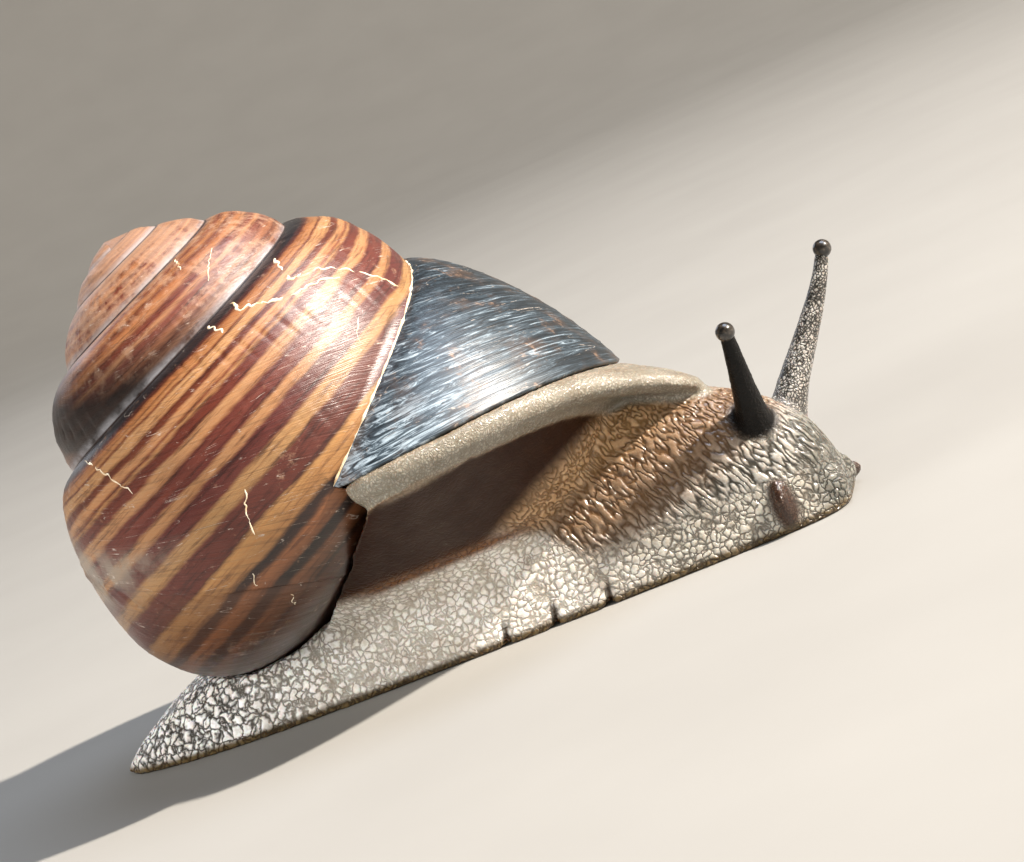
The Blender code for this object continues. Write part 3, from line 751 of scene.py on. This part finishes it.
# Painted highlight: a pale grey rim just above each suture, broken in patches.
painted_rim_highlight = add(tree, "ShaderNodeMapRange", (seam, RIM_HIGHLIGHT_WIDTH, 0.1), interpolation_type="SMOOTHSTEP")
below_middle = add(tree, "ShaderNodeMath", (band, 0.5), operation="GREATER_THAN")
patchy = add(tree, "ShaderNodeMapRange", (blotches, 0.36, 0.56, 0.0, 0.6))
painted_rim_highlight = share_of(painted_rim_highlight, below_middle, patchy, grown_between(-395, -440))
seam_line = add(tree, "ShaderNodeMapRange", (seam, 0.16, 0.04), interpolation_type="SMOOTHSTEP")
seam_line = share_of(seam_line, grown_between(-330, -380))
coloured = layered(tree, coloured, (wear, "#ab876c", "MIX"), (scratches, "#b3a79c", "MIX"),
                   (stain_and_shade, "#3f2f28", "MULTIPLY"), (painted_rim_highlight, "#a19fa3", "MIX"),
                   (seam_line, "#2b1d19", "MIX"))
print("shell nodes with its wear:", len(tree.nodes))

# %% [markdown]
# ## Shell finish: gloss
#
# The horny skin is a clear coat, thinner on the slate part. Worn places are rougher,
# and very fine growth lines break up every glint. They are too fine to be modelled, so
# they are bump.

# %% Gloss of the shell
fine_lines = drawn_noise(0.22, 5.0, 3.0, 0.6)
relief = add(tree, "ShaderNodeBump", {"Strength": 0.55, "Distance": 0.05 * MM, "Height": fine_lines})
fill(tree, shader, {"Base Color": coloured, "Normal": relief, "Coat Normal": relief,
                    "Roughness": add(tree, "ShaderNodeMapRange", (wear, 0.0, 1.0, 0.42, 0.62)),
                    "IOR": 1.50, "Coat Weight": grown_between(*SLATE_STARTS, 0.42, 0.24),
                    "Coat Roughness": 0.31})
print("shell nodes:", len(tree.nodes))

# %% [markdown]
# ## Cream lines and the finished shell
#
# Dried shell glue is bare chalk, so the thread and the scars get a cream finish of their
# own, without the varnish. They are joined to the shell's mesh as its second material.

# %% Cream lines and the finished shell
cream, tree, shader = new_material("dried shell glue, chalky")
place = add(tree, "ShaderNodeTexCoord")["Object"]
grain = add(tree, "ShaderNodeTexNoise", {"Vector": place, "Scale": 1 / (0.9 * MM),
                                         "Detail": 3.0})["Fac"]
tone = add(tree, "ShaderNodeValToRGB", (grain,), [(0.3, "#c9a77c"), (0.6, "#ece0c8")])["Color"]
fill(tree, shader, {"Base Color": tone, "Roughness": 0.42})

before = set(bm.faces)
bm.from_mesh(pale_lines)
for face in set(bm.faces) - before:
    face.material_index = 1
shell = make_piece("banded_shell", bm, shell_finish, cream)
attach(shell, "root")
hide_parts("shell")
print("shell faces:", len(shell.data.polygons))

# %% [markdown]
# ## One skin over all the flesh
#
# The frame parts the flesh into a tail, foot, neck, head and feelers, but on the animal
# one skin covers them. Joining the meshes would leave the seams, so they are fused: each
# part is copied and swollen until it meets its neighbours, a voxel remesh turns the heap
# into one closed surface, and smoothing and shrinking bring it back to size. A ball inside
# each eye carries the skin up into it. The sole is pressed flat again at the end.

# %% Fuse the flesh
FEELER_NODES = [f"feeler_{side}_{part}" for side in ("right", "left") for part in ("lower", "upper")]
LOBE_NODES = ["lower_feeler_right", "lower_feeler_left", "mouth_lobe_right", "mouth_lobe_left"]
TRUNK_NODES = ["tail", "foot_rear", "foot_front", "neck", "head", "stalk"]
SWELL = 0.2              # mm, a little over half the gap between two parts
VOXEL = 0.16
COLLAR_LIFT = 0.42       # a second collar, this far up, closes the gap to the lip
BALL_RADIUS = 0.78       # of the ball inside each eye


def swollen_copy(node, distance=SWELL, lift=0.0):
    """A merged copy of a node's mesh with its surface pushed outwards, in mm."""
    part = bmesh.new()
    part.from_mesh(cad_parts[node].data)
    bmesh.ops.remove_doubles(part, verts=part.verts, dist=WELD)
    part.normal_update()
    moves = [vertex.normal * distance * min(vertex.calc_shell_factor(), 2.0) - LIP_DROP * lift
             for vertex in part.verts]
    for vertex, move in zip(part.verts, moves):
        vertex.co += move * MM
    mesh = bpy.data.meshes.new(node)
    part.to_mesh(mesh)
    part.free()
    return mesh


def result_of(piece):
    """The piece's mesh with its modifiers worked in."""
    graph = bpy.context.evaluated_depsgraph_get()
    mesh = bpy.data.meshes.new_from_object(piece.evaluated_get(graph))
    piece.modifiers.clear()
    piece.data = mesh
    return mesh


def eye_centre(side):
    low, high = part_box(f"eye_{side}")
    return (low + high) / 2


bm = bmesh.new()
for node in TRUNK_NODES + ["mantle_collar"] + FEELER_NODES + LOBE_NODES:
    bm.from_mesh(swollen_copy(node))
bm.from_mesh(swollen_copy("mantle_collar", SWELL, COLLAR_LIFT))
for side in ("right", "left"):
    bmesh.ops.create_icosphere(bm, subdivisions=3, radius=BALL_RADIUS * MM,
                               matrix=Matrix.Translation(eye_centre(side)))
skin = make_piece("snail_skin", bm)
remesh = skin.modifiers.new("fuse", "REMESH")
remesh.mode = "VOXEL"
remesh.voxel_size = VOXEL * MM
mesh = result_of(skin)
print("fused skin corners:", len(mesh.vertices))

# %% [markdown]
# ## Where each kind of skin lies
#
# Pebbles on the foot, wavy ridges on the neck and fine grains on the collar and feelers
# all need to know where they are. Distance to a part of the frame says that without any
# painting by hand: one tree of triangles for each kind finds the nearest, and the share
# fades over a millimetre or so. The shares are kept on the mesh as named attributes, and
# so is each corner's place before any relief moves it.

# %% Shares of each kind of skin
def read_vectors(mesh, what, unit=1.0):
    """The mesh's corners or their normals, a row each."""
    flat = np.empty(len(mesh.vertices) * 3, np.float32)
    mesh.vertices.foreach_get(what, flat)
    return flat.reshape(-1, 3) / unit


def set_corners(mesh, corners):
    mesh.vertices.foreach_set("co", (corners * MM).astype(np.float32).ravel())
    mesh.update()


def nearness(mesh, nodes, full, none):
    """1 for corners within full mm of the nodes, falling to 0 at none mm."""
    points, faces = [], []
    for node in nodes:
        start = len(points)
        points += [vertex.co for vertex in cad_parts[node].data.vertices]
        faces += [[start + k for k in polygon.vertices]
                  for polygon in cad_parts[node].data.polygons]
    tree = BVHTree.FromPolygons(points, faces)
    away = [tree.find_nearest(vertex.co)[3] or 0.0 for vertex in mesh.vertices]
    return eased(np.array(away) / MM, none, full)


def keep_share(mesh, name, values):
    mesh.attributes.new(name, "FLOAT", "POINT").data.foreach_set("value", values.astype(np.float32))


collar_share = nearness(mesh, ["mantle_collar"], 0.35, 0.9)
feeler_share = nearness(mesh, FEELER_NODES + ["eye_right", "eye_left"], 0.3, 1.3)
# The far feeler is painted lighter, painted highlights in place of its glints.
painted_lit_feeler_share = nearness(mesh, FEELER_NODES[2:] + ["eye_left"], 0.3, 1.3)
lobe_share = nearness(mesh, LOBE_NODES[:2], 0.15, 0.75)
still = np.maximum(feeler_share, lobe_share)
print("share of corners on the collar:", round(float(collar_share.mean()), 2))

# %% [markdown]
# The frame's solids are faceted and the remesh steps by voxels. Smoothing takes out both,
# but it also shrinks thin things, so a vertex group spares the feelers most of it. Then
# the swelling is taken back. That roughens sharp edges, so a few rounds more settle them.

# %% Smooth, shrink and flatten the sole
ROUNDS = 60
SETTLING_ROUNDS = 8
SPARED = 0.85            # share of the smoothing that the feelers don't get
LEVELS = 10              # a vertex group takes one weight at a time
SOLE_HEIGHT = 0.12       # mm; skin below this is pressed
PRESSED = 0.3            # to this share of its height

group = skin.vertex_groups.new(name="smoothing")
for weight in range(1, LEVELS + 1):
    chosen = np.nonzero(np.round((1 - SPARED * still) * LEVELS) == weight)[0]
    group.add(chosen.tolist(), weight / LEVELS, "REPLACE")


def smoothed_skin(rounds):
    smooth = skin.modifiers.new("smooth", "SMOOTH")
    smooth.factor = 0.5
    smooth.iterations = rounds
    smooth.vertex_group = "smoothing"
    return result_of(skin)


mesh = smoothed_skin(ROUNDS)
set_corners(mesh, read_vectors(mesh, "co", MM) - read_vectors(mesh, "normal") * SWELL)
mesh = smoothed_skin(SETTLING_ROUNDS)
skin.vertex_groups.clear()
corners = read_vectors(mesh, "co", MM)
height = corners[:, 2]
print("lowest corner before the sole is pressed, mm:", round(float(height.min()), 2))
corners[:, 2] = np.where(height < SOLE_HEIGHT, np.maximum(height * PRESSED, 0.0), height)
set_corners(mesh, corners)

# %% [markdown]
# ## Body wall and folds
#
# Under the collar the body wall lies back from the foot, and the right edge of the sole
# has three small folds where it has let go of what it crawls on. The frame's solids are
# too plain for these, so the skin's own corners are pressed in along their normals.

# %% Body wall and folds
WALL_FLOOR = 8.3                 # the wall starts above this
WALL_FRONT = (-0.2, 9.6, 0.45)   # and behind a line: x and z of a point of it, and its slope
WALL_REAR = (-24.0, -21.0)       # x between which it begins
WALL_DEPTH = 0.5                 # it lies this far behind the foot's edge
WALL_SINKS = (-4.0, 0.0)         # x between which it begins to: farther back it is thin
FOLDS = (-4.9, -0.7, 3.9)        # x of the folds
FOLD_LEAN = 0.25
FOLD_DEPTH = 0.55
FOLD_TOP = 1.9
FOLD_WIDTH = 0.34
RIGHT_SIDE = -3.0                # y of where the snail's right side starts


def line_height(line, x):
    return line[1] + line[2] * (x - line[0])


def fold_mark(fold, width):
    """1 along a leaning fold, fading to 0 on both sides."""
    return np.exp(-((x - (fold + FOLD_LEAN * (z - 1.0))) / width) ** 2)


corners = read_vectors(mesh, "co", MM)
normals = read_vectors(mesh, "normal")
x, y, z = corners.T
wall_floor = np.maximum(WALL_FLOOR, line_height(WALL_FRONT, x))
wall_share = eased(z - wall_floor, -0.6, 0.6) * (1 - collar_share)
wall_share = wall_share * eased(x, *WALL_REAR)
corners -= normals * (WALL_DEPTH * wall_share * eased(x, *WALL_SINKS))[:, None]
for fold in FOLDS:
    dent = fold_mark(fold, FOLD_WIDTH) * eased(z, FOLD_TOP, 0.6) * (y < RIGHT_SIDE)
    corners -= normals * (FOLD_DEPTH * dent)[:, None]
corners[:, 2] = np.maximum(corners[:, 2], 0.0)
set_corners(mesh, corners)
# The folds are painted darker too, painted shade in their creases.
fold_shade_share = sum(fold_mark(fold, 0.9 * FOLD_WIDTH) for fold in FOLDS) * (y < RIGHT_SIDE)
fold_shade_share = fold_shade_share * eased(z, FOLD_TOP + 0.5, 1.2)
print("share of corners on the body wall:", round(float(wall_share.mean()), 2))

# %% [markdown]
# ## Shares by place
#
# Where the neck passes into the foot can't be read from the parts, because the frame cuts
# them with straight planes. It follows a line that sinks towards the head, so a few
# heights say it. Pebbles grow towards the tail, and a pattern whose scale changed from
# place to place would be torn. So each corner also keeps its place counted in pebbles:
# along the body their number is summed up, and across it their size there divides.

# %% Shares by place
NECK_FLOOR = 4.1                 # height of the neck's lower limit, beside the head
NECK_REAR_RISE = 4.8             # and how much higher it starts, at the rear
# The brown ends along the feeler's shadow: it is partly the neck's own colour, partly painted warmth
# of light through the flesh and painted shade.
HEAD_LINE = (0.0, 1.45, 0.336)   # brown ends below this line: x and z of a point, slope
# Above this line the neck is painted paler, painted light that offsets the collar's shadow on it.
PAINTED_LIGHT_LINE = (2.0, 7.6, 0.36)     # and is paler above this one
# An orange-brown strip just below the wall is painted light, a glow of light through the flesh.
GLOW_STRIP_DROP = 0.1                 # a brown strip lies this far below the wall's lower limit
GLOW_STRIP_WIDTH = 0.55
PEBBLE_SIZE = 0.56
TAIL_PEBBLE_SIZE = 0.84
TAIL_PEBBLES = (-12.0, -24.0)    # x between which they grow to that
STATIONS = np.linspace(-45.0, 45.0, 901)    # x of places along the body, past both its ends


def pebble_size(x):
    return PEBBLE_SIZE + (TAIL_PEBBLE_SIZE - PEBBLE_SIZE) * eased(x, *TAIL_PEBBLES)


def keep_vectors(mesh, name, values):
    kept = mesh.attributes.new(name, "FLOAT_VECTOR", "POINT")
    kept.data.foreach_set("vector", values.astype(np.float32).ravel())


neck_floor = NECK_FLOOR + NECK_REAR_RISE * eased(x, 4.5, -2.5)
sole_share = eased(normals[:, 2], -0.3, -0.8) * eased(z, 0.6, 0.15)
grain_share = np.maximum(np.maximum(collar_share, feeler_share), lobe_share)
ridge_share = eased(z - neck_floor, -0.9, 0.9) * (1 - grain_share)
brown_share = eased(z - np.maximum(neck_floor, line_height(HEAD_LINE, x)), -1.6, 2.2)
# Painted glow: an orange-brown strip where the wall meets the foot.
glow_strip_share = np.exp(-((z - WALL_FLOOR + GLOW_STRIP_DROP) / GLOW_STRIP_WIDTH) ** 2) * (y < RIGHT_SIDE)
glow_strip_share = glow_strip_share * eased(x, -16.0, -12.0) * eased(x, 2.5, -2.0)
shares = {
    "collar": collar_share, "feeler": feeler_share, "painted_lit_feeler": painted_lit_feeler_share,
    "lobe": lobe_share, "wall": wall_share, "folds": fold_shade_share, "brown": brown_share,
    "wall_glow_strip": glow_strip_share * (1 - collar_share),
    # painted light: paler on the neck where the collar's shadow falls
    "neck_painted_light": brown_share * eased(z - line_height(PAINTED_LIGHT_LINE, x), -0.8, 1.6),
    "snout": eased(x, 20.6, 22.6) * (1 - grain_share),
    # painted shade: darker towards the head, where the key light falls strongly
    "front": eased(x, -4.0, 12.0),
    # painted light: lighter towards the tail, which the shell shades
    "tail": eased(x, -14, -31),
    "sole_edge": eased(z, 0.85, 0.35),
    "ridges": ridge_share * (1 - 0.9 * wall_share) * (1 - sole_share),
    "grains": grain_share * (1 - sole_share),
    "pebbles": (1 - ridge_share) * (1 - grain_share) * (1 - sole_share),
}
for name, values in shares.items():
    keep_share(mesh, name, values)
keep_vectors(mesh, "rest", read_vectors(mesh, "co", MM))
pebbles_passed = np.cumsum(1 / pebble_size(STATIONS)) * (STATIONS[1] - STATIONS[0])
size_here = pebble_size(x)
keep_vectors(mesh, "in_pebbles", np.column_stack([np.interp(x, STATIONS, pebbles_passed),
                                                  y / size_here, z / size_here]))
print("shares:", ", ".join(f"{name} {float(values.mean()):.2f}" for name, values in shares.items()))

# %% [markdown]
# ## Pebbles, ridges and grains
#
# Snail skin is divided by fine furrows that carry slime. On the foot they part it into
# many-sided pebbles over half a millimetre wide, on the neck into long wavy ridges that
# lean forwards as they go down, and on the collar and feelers into small grains. A
# Voronoi texture's distance to its edges draws pebbles and grains. The ridges wind and
# branch like worm tracks: plain noise in a stretched space has such furrows where it
# passes its middle value. One function builds these nodes, and both Geometry Nodes and the
# material call it: the first moves the surface, the second darkens the furrows and
# sharpens the relief in the same places.

# %% One pattern for shape and colour
CELLS = {   # where cells are counted, a cell in mm and in that count, its furrow, height mm
    "pebbles": ("in_pebbles", PEBBLE_SIZE, 1.0, 0.27, 0.08),
    "grains": ("rest", 0.27, 0.27, 0.45, 0.03),
}
RIDGE_SIZE = (0.37, 0.42, 1.60)  # mm: ridges are long, and lean forwards on their way down
RIDGE_LEAN = radians(27)
RIDGE_BEND = 0.45                # ridges bend this much of what pebbles do
RIDGE_RISE = 0.11
RIDGE_FURROW = 0.20              # how far from its middle value the noise makes a full ridge
WARPS = ((1.5, 0.42), (0.36, 0.17))     # mm: how long the furrows' bends are, and how deep
UNEVEN = (0.75, 1.7)             # some furrows are wide and others hardly there


def named(tree, name, kind="FLOAT"):
    """A named attribute of the mesh, in a material or in Geometry Nodes."""
    if tree.bl_idname == "ShaderNodeTree":
        outputs = add(tree, "ShaderNodeAttribute", attribute_name=name)
        return outputs["Vector" if kind == "FLOAT_VECTOR" else "Fac"]
    return add(tree, "GeometryNodeInputNamedAttribute", {"Name": name}, data_type=kind)["Attribute"]


def ridge_dome(tree, bend, rest):
    """0 in a furrow to 1 on top of a ridge."""
    swung = add(tree, "ShaderNodeVectorMath", (bend, (RIDGE_BEND,) * 3, rest),
                operation="MULTIPLY_ADD")
    leaning = add(tree, "ShaderNodeVectorRotate", {"Vector": swung, "Axis": (0, 1, 0),
                                                   "Angle": RIDGE_LEAN}, rotation_type="AXIS_ANGLE")
    drawn_out = add(tree, "ShaderNodeVectorMath", (leaning, [1 / size for size in RIDGE_SIZE]),
                    operation="MULTIPLY")
    cloud = add(tree, "ShaderNodeTexNoise", {"Vector": drawn_out, "Scale": 1.0, "Detail": 0.0})
    off_middle = add(tree, "ShaderNodeMath", (cloud["Fac"], 0.5), operation="SUBTRACT")
    off_middle = add(tree, "ShaderNodeMath", (off_middle,), operation="ABSOLUTE")
    return add(tree, "ShaderNodeMapRange", (off_middle, 0.0, RIDGE_FURROW),
               interpolation_type="SMOOTHSTEP")


def cell_dome(tree, bend, uneven, counted, cell, size, furrow):
    """0 in a furrow to 1 on top of a pebble or a grain."""
    counted_place = named(tree, counted, "FLOAT_VECTOR")
    in_cells = add(tree, "ShaderNodeVectorMath", (counted_place, (1 / size,) * 3),
                   operation="MULTIPLY")
    bend_in_cells = add(tree, "ShaderNodeVectorMath", (bend, (1 / cell,) * 3),
                        operation="MULTIPLY")
    bent = add(tree, "ShaderNodeVectorMath", (in_cells, bend_in_cells), operation="ADD")
    away = add(tree, "ShaderNodeTexVoronoi", {"Vector": bent, "Scale": 1.0, "Randomness": 0.95},
               feature="DISTANCE_TO_EDGE")
    away = add(tree, "ShaderNodeMath", (away, uneven), operation="MULTIPLY")
    return add(tree, "ShaderNodeMapRange", (away, 0.0, furrow), interpolation_type="SMOOTHSTEP")


def skin_pattern(tree):
    """Height in mm, and 0 in a furrow to 1 on top of a pebble."""
    rest = named(tree, "rest", "FLOAT_VECTOR")
    warps, patches = [], []
    for size, depth in WARPS:
        coarse = add(tree, "ShaderNodeVectorMath", (rest, (1 / size,) * 3), operation="MULTIPLY")
        cloud = add(tree, "ShaderNodeTexNoise", {"Vector": coarse, "Scale": 1.0, "Detail": 1.0})
        centred = add(tree, "ShaderNodeVectorMath", (cloud["Color"], (0.5,) * 3),
                      operation="SUBTRACT")
        warps.append(add(tree, "ShaderNodeVectorMath", (centred, (depth * 2,) * 3),
                         operation="MULTIPLY"))
        patches.append(cloud["Fac"])
    bend = add(tree, "ShaderNodeVectorMath", warps, operation="ADD")
    uneven = add(tree, "ShaderNodeMapRange", (patches[0], 0.35, 0.65, *UNEVEN))
    tone = add(tree, "ShaderNodeMath", (ridge_dome(tree, bend, rest), named(tree, "ridges")),
               operation="MULTIPLY")
    height = add(tree, "ShaderNodeMath", (tone, RIDGE_RISE), operation="MULTIPLY")
    for name, (*cells, rise) in CELLS.items():
        dome = cell_dome(tree, bend, uneven, *cells)
        part = add(tree, "ShaderNodeMath", (dome, named(tree, name)), operation="MULTIPLY")
        height = add(tree, "ShaderNodeMath", (part, rise, height), operation="MULTIPLY_ADD")
        tone = add(tree, "ShaderNodeMath", (part, tone), operation="ADD")
    return height, tone


print("furrows are drawn for:", ", ".join(["ridges", *CELLS]))

# %% [markdown]
# The pattern's height moves every corner of the skin outwards, as a Geometry Nodes
# modifier, which knows the named attributes and the same noise as the material.

# %% Raise the pebbles
pebbling = bpy.data.node_groups.new("pebbling", "GeometryNodeTree")
for way in ("INPUT", "OUTPUT"):
    pebbling.interface.new_socket("Geometry", in_out=way, socket_type="NodeSocketGeometry")
height, _ = skin_pattern(pebbling)
height = add(pebbling, "ShaderNodeMath", (height, MM), operation="MULTIPLY")
normal = add(pebbling, "GeometryNodeInputNormal")["Normal"]
outwards = add(pebbling, "ShaderNodeVectorMath", (normal, height), operation="SCALE")
moved = add(pebbling, "GeometryNodeSetPosition",
            {"Geometry": add(pebbling, "NodeGroupInput")["Geometry"], "Offset": outwards})
add(pebbling, "NodeGroupOutput", (moved,))
skin.modifiers.new("pebbling", "NODES").node_group = pebbling
mesh = result_of(skin)
print("nodes that raise the pebbles:", len(pebbling.nodes))

# %% [markdown]
# The relief needs a fine mesh only where there is relief. Collapsing edges by their
# error keeps the furrows and empties the flat sole, and the named attributes stay.

# %% Thin out the skin
SKIN_TRIANGLES = 196000

count = sum(len(polygon.vertices) - 2 for polygon in mesh.polygons)
thin = skin.modifiers.new("thin", "DECIMATE")
thin.ratio = min(SKIN_TRIANGLES / count, 1.0)
mesh = result_of(skin)
for polygon in mesh.polygons:
    polygon.use_smooth = True
print("skin triangles:", count, "to", sum(len(p.vertices) - 2 for p in mesh.polygons))

# %% [markdown]
# ## Skin finish
#
# Living snail skin is soft, slightly see-through and covered with slime, so light
# spreads in it a little and it glints on every pebble. The foot is grey and beige with
# darker furrows, the neck warm brown, the collar sandy, and the feelers nearly black.
# Some zones paint light and shade into the colour: the front is painted darker where the
# key light falls strongly; the tail, the neck under the collar and the far feeler are
# painted lighter; the near feeler, the lower feelers, the body wall and the folds are
# painted darker with shade; the neck's brown is partly painted warmth of light through the
# flesh; and an orange strip under the wall is a painted glow.
# Each zone has two colours, for furrow and pebble, and the shares lay them over each
# other from the plainest to the most particular. The slime is a clear coat that follows
# the relief. The body wall and the dark feeler have almost none, so that they stay deep.

# %% Skin finish
ZONES = [   # share, furrow colour, pebble colour
    (None, "#c2bcb2", "#fbf9f5"),
    # painted shade: the front of the foot and the head darker, where the key light falls strongly
    ("front", "#6a655d", "#bfbbb1"),
    # the tail's own dark furrows, with tops painted lighter, painted light where the shell shades
    # the tail
    ("tail", "#3b3834", "#ffffff"),
    ("ridges", "#3d3a33", "#ada9a2"),
    # the neck's own brown, with painted warmth of light through the flesh and painted shade behind
    # the feeler's shadow
    ("brown", "#5e442b", "#876f58"),
    # painted light: a paler brown on the neck where the collar's shadow falls
    ("neck_painted_light", "#846541", "#c4a17a"),
    ("snout", "#3a3832", "#72716a"),
    # painted shade over the wall's own dark brown: darker where it lies back under the collar
    ("wall", "#2b1304", "#41210d"),
    # painted light: an orange-brown glow of light through the flesh below the wall
    ("wall_glow_strip", "#54300f", "#7a4d20"),
    ("collar", "#7f796c", "#a09b90"),
    # partly painted shade: the near feeler nearly black where it stands in shade
    ("feeler", "#060504", "#100d0a"),
    # painted highlight: the far feeler's pale tops stand in for its glints
    ("painted_lit_feeler", "#171512", "#b5b2ad"),
    # partly painted shade: the lower feelers dark red-brown, the near one hanging in shade
    ("lobe", "#2a160c", "#402a1c"),
    ("sole_edge", "#3a2d1a", "#5f4f32"),
    # painted shade in the creases of the folds
    ("folds", "#2a1b0c", "#4a3620"),
]

skin_finish, tree, shader = new_material("wet snail skin")
height, tone = skin_pattern(tree)
rest = named(tree, "rest", "FLOAT_VECTOR")
patches, specks, pores = [
    add(tree, "ShaderNodeTexNoise", {"Vector": rest, "Scale": 1 / size, "Detail": detail})["Fac"]
    for size, detail in ((2.4, 4.0), (0.28, 2.0), (0.16, 2.0))]
skin_colour = None
for share, furrow, top in ZONES:
    zone = layered(tree, colour(furrow), (tone, top, "MIX"))
    skin_colour = layered(tree, skin_colour, (named(tree, share), zone, "MIX")) if share else zone
for strength, cloud, darker, lighter in ((0.7, patches, (0.3, "#d9d2ca"), (0.62, "#ffffff")),
                                         (0.6, specks, (0.3, "#d3c9be"), (0.6, "#ffffff"))):
    shade = add(tree, "ShaderNodeValToRGB", (cloud,), [darker, lighter])["Color"]
    skin_colour = layered(tree, skin_colour, (strength, shade, "MULTIPLY"))

furrowed = add(tree, "ShaderNodeBump", {"Strength": 0.9, "Distance": MM, "Height": height})
relief = add(tree, "ShaderNodeBump", {"Strength": 0.5, "Distance": 0.05 * MM, "Normal": furrowed,
                                      "Height": pores})
dark_feeler = add(tree, "ShaderNodeMath", (named(tree, "feeler"), named(tree, "painted_lit_feeler")),
                  operation="SUBTRACT")
dry = add(tree, "ShaderNodeMath", (named(tree, "wall"), dark_feeler), operation="MAXIMUM")
fill(tree, shader, {"Base Color": skin_colour, "Normal": relief, "Coat Normal": relief,
                    "Roughness": add(tree, "ShaderNodeMapRange", (patches, 0.35, 0.65, 0.56, 0.40)),
                    "IOR": 1.36, "Specular IOR Level": 0.35,
                    "Coat Weight": add(tree, "ShaderNodeMapRange", (dry, 0.0, 1.0, 0.80, 0.05)),
                    "Coat Roughness": 0.09, "Subsurface Weight": 0.25,
                    "Subsurface Radius": (1.0, 0.45, 0.25), "Subsurface Scale": 0.6 * MM})
skin.data.materials.append(skin_finish)
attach(skin, "root")
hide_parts(*TRUNK_NODES, "mantle_collar", *FEELER_NODES, *LOBE_NODES)
print("skin nodes:", len(tree.nodes))

# %% [markdown]
# ## Eyes
#
# A snail's eye is a dark bead in the tip of each long feeler, under skin so thin and wet
# that it shines like glass. It could be a spot painted on the skin, but a ball of its own
# takes its gloss, and shows at the tip where the skin thins. The frame's ball is faceted,
# so a finer one takes its place.

# %% Eyes
EYE_RADIUS = 0.75

eye_finish, tree, shader = new_material("dark eye under wet, thin skin")
place = add(tree, "ShaderNodeTexCoord")["Object"]
mottle = add(tree, "ShaderNodeTexNoise", {"Vector": place, "Scale": 1 / (0.35 * MM),
                                          "Detail": 3.0})["Fac"]
tone = add(tree, "ShaderNodeValToRGB", (mottle,),
           [(0.35, "#0d0b0a"), (0.55, "#28221c"), (0.7, "#4a423a")])["Color"]
relief = add(tree, "ShaderNodeBump", {"Strength": 0.3, "Distance": 0.02 * MM, "Height": mottle})
fill(tree, shader, {"Base Color": tone, "Normal": relief, "Roughness": 0.35, "IOR": 1.38,
                    "Coat Weight": 1.0, "Coat Roughness": 0.05})
for side in ("right", "left"):
    bm = bmesh.new()
    bmesh.ops.create_icosphere(bm, subdivisions=4, radius=EYE_RADIUS * MM,
                               matrix=Matrix.Translation(eye_centre(side)))
    eye = make_piece(f"eyeball_{side}", bm, eye_finish)
    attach(eye, "root")
    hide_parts(f"eye_{side}")
    print("eye faces:", len(eye.data.polygons))
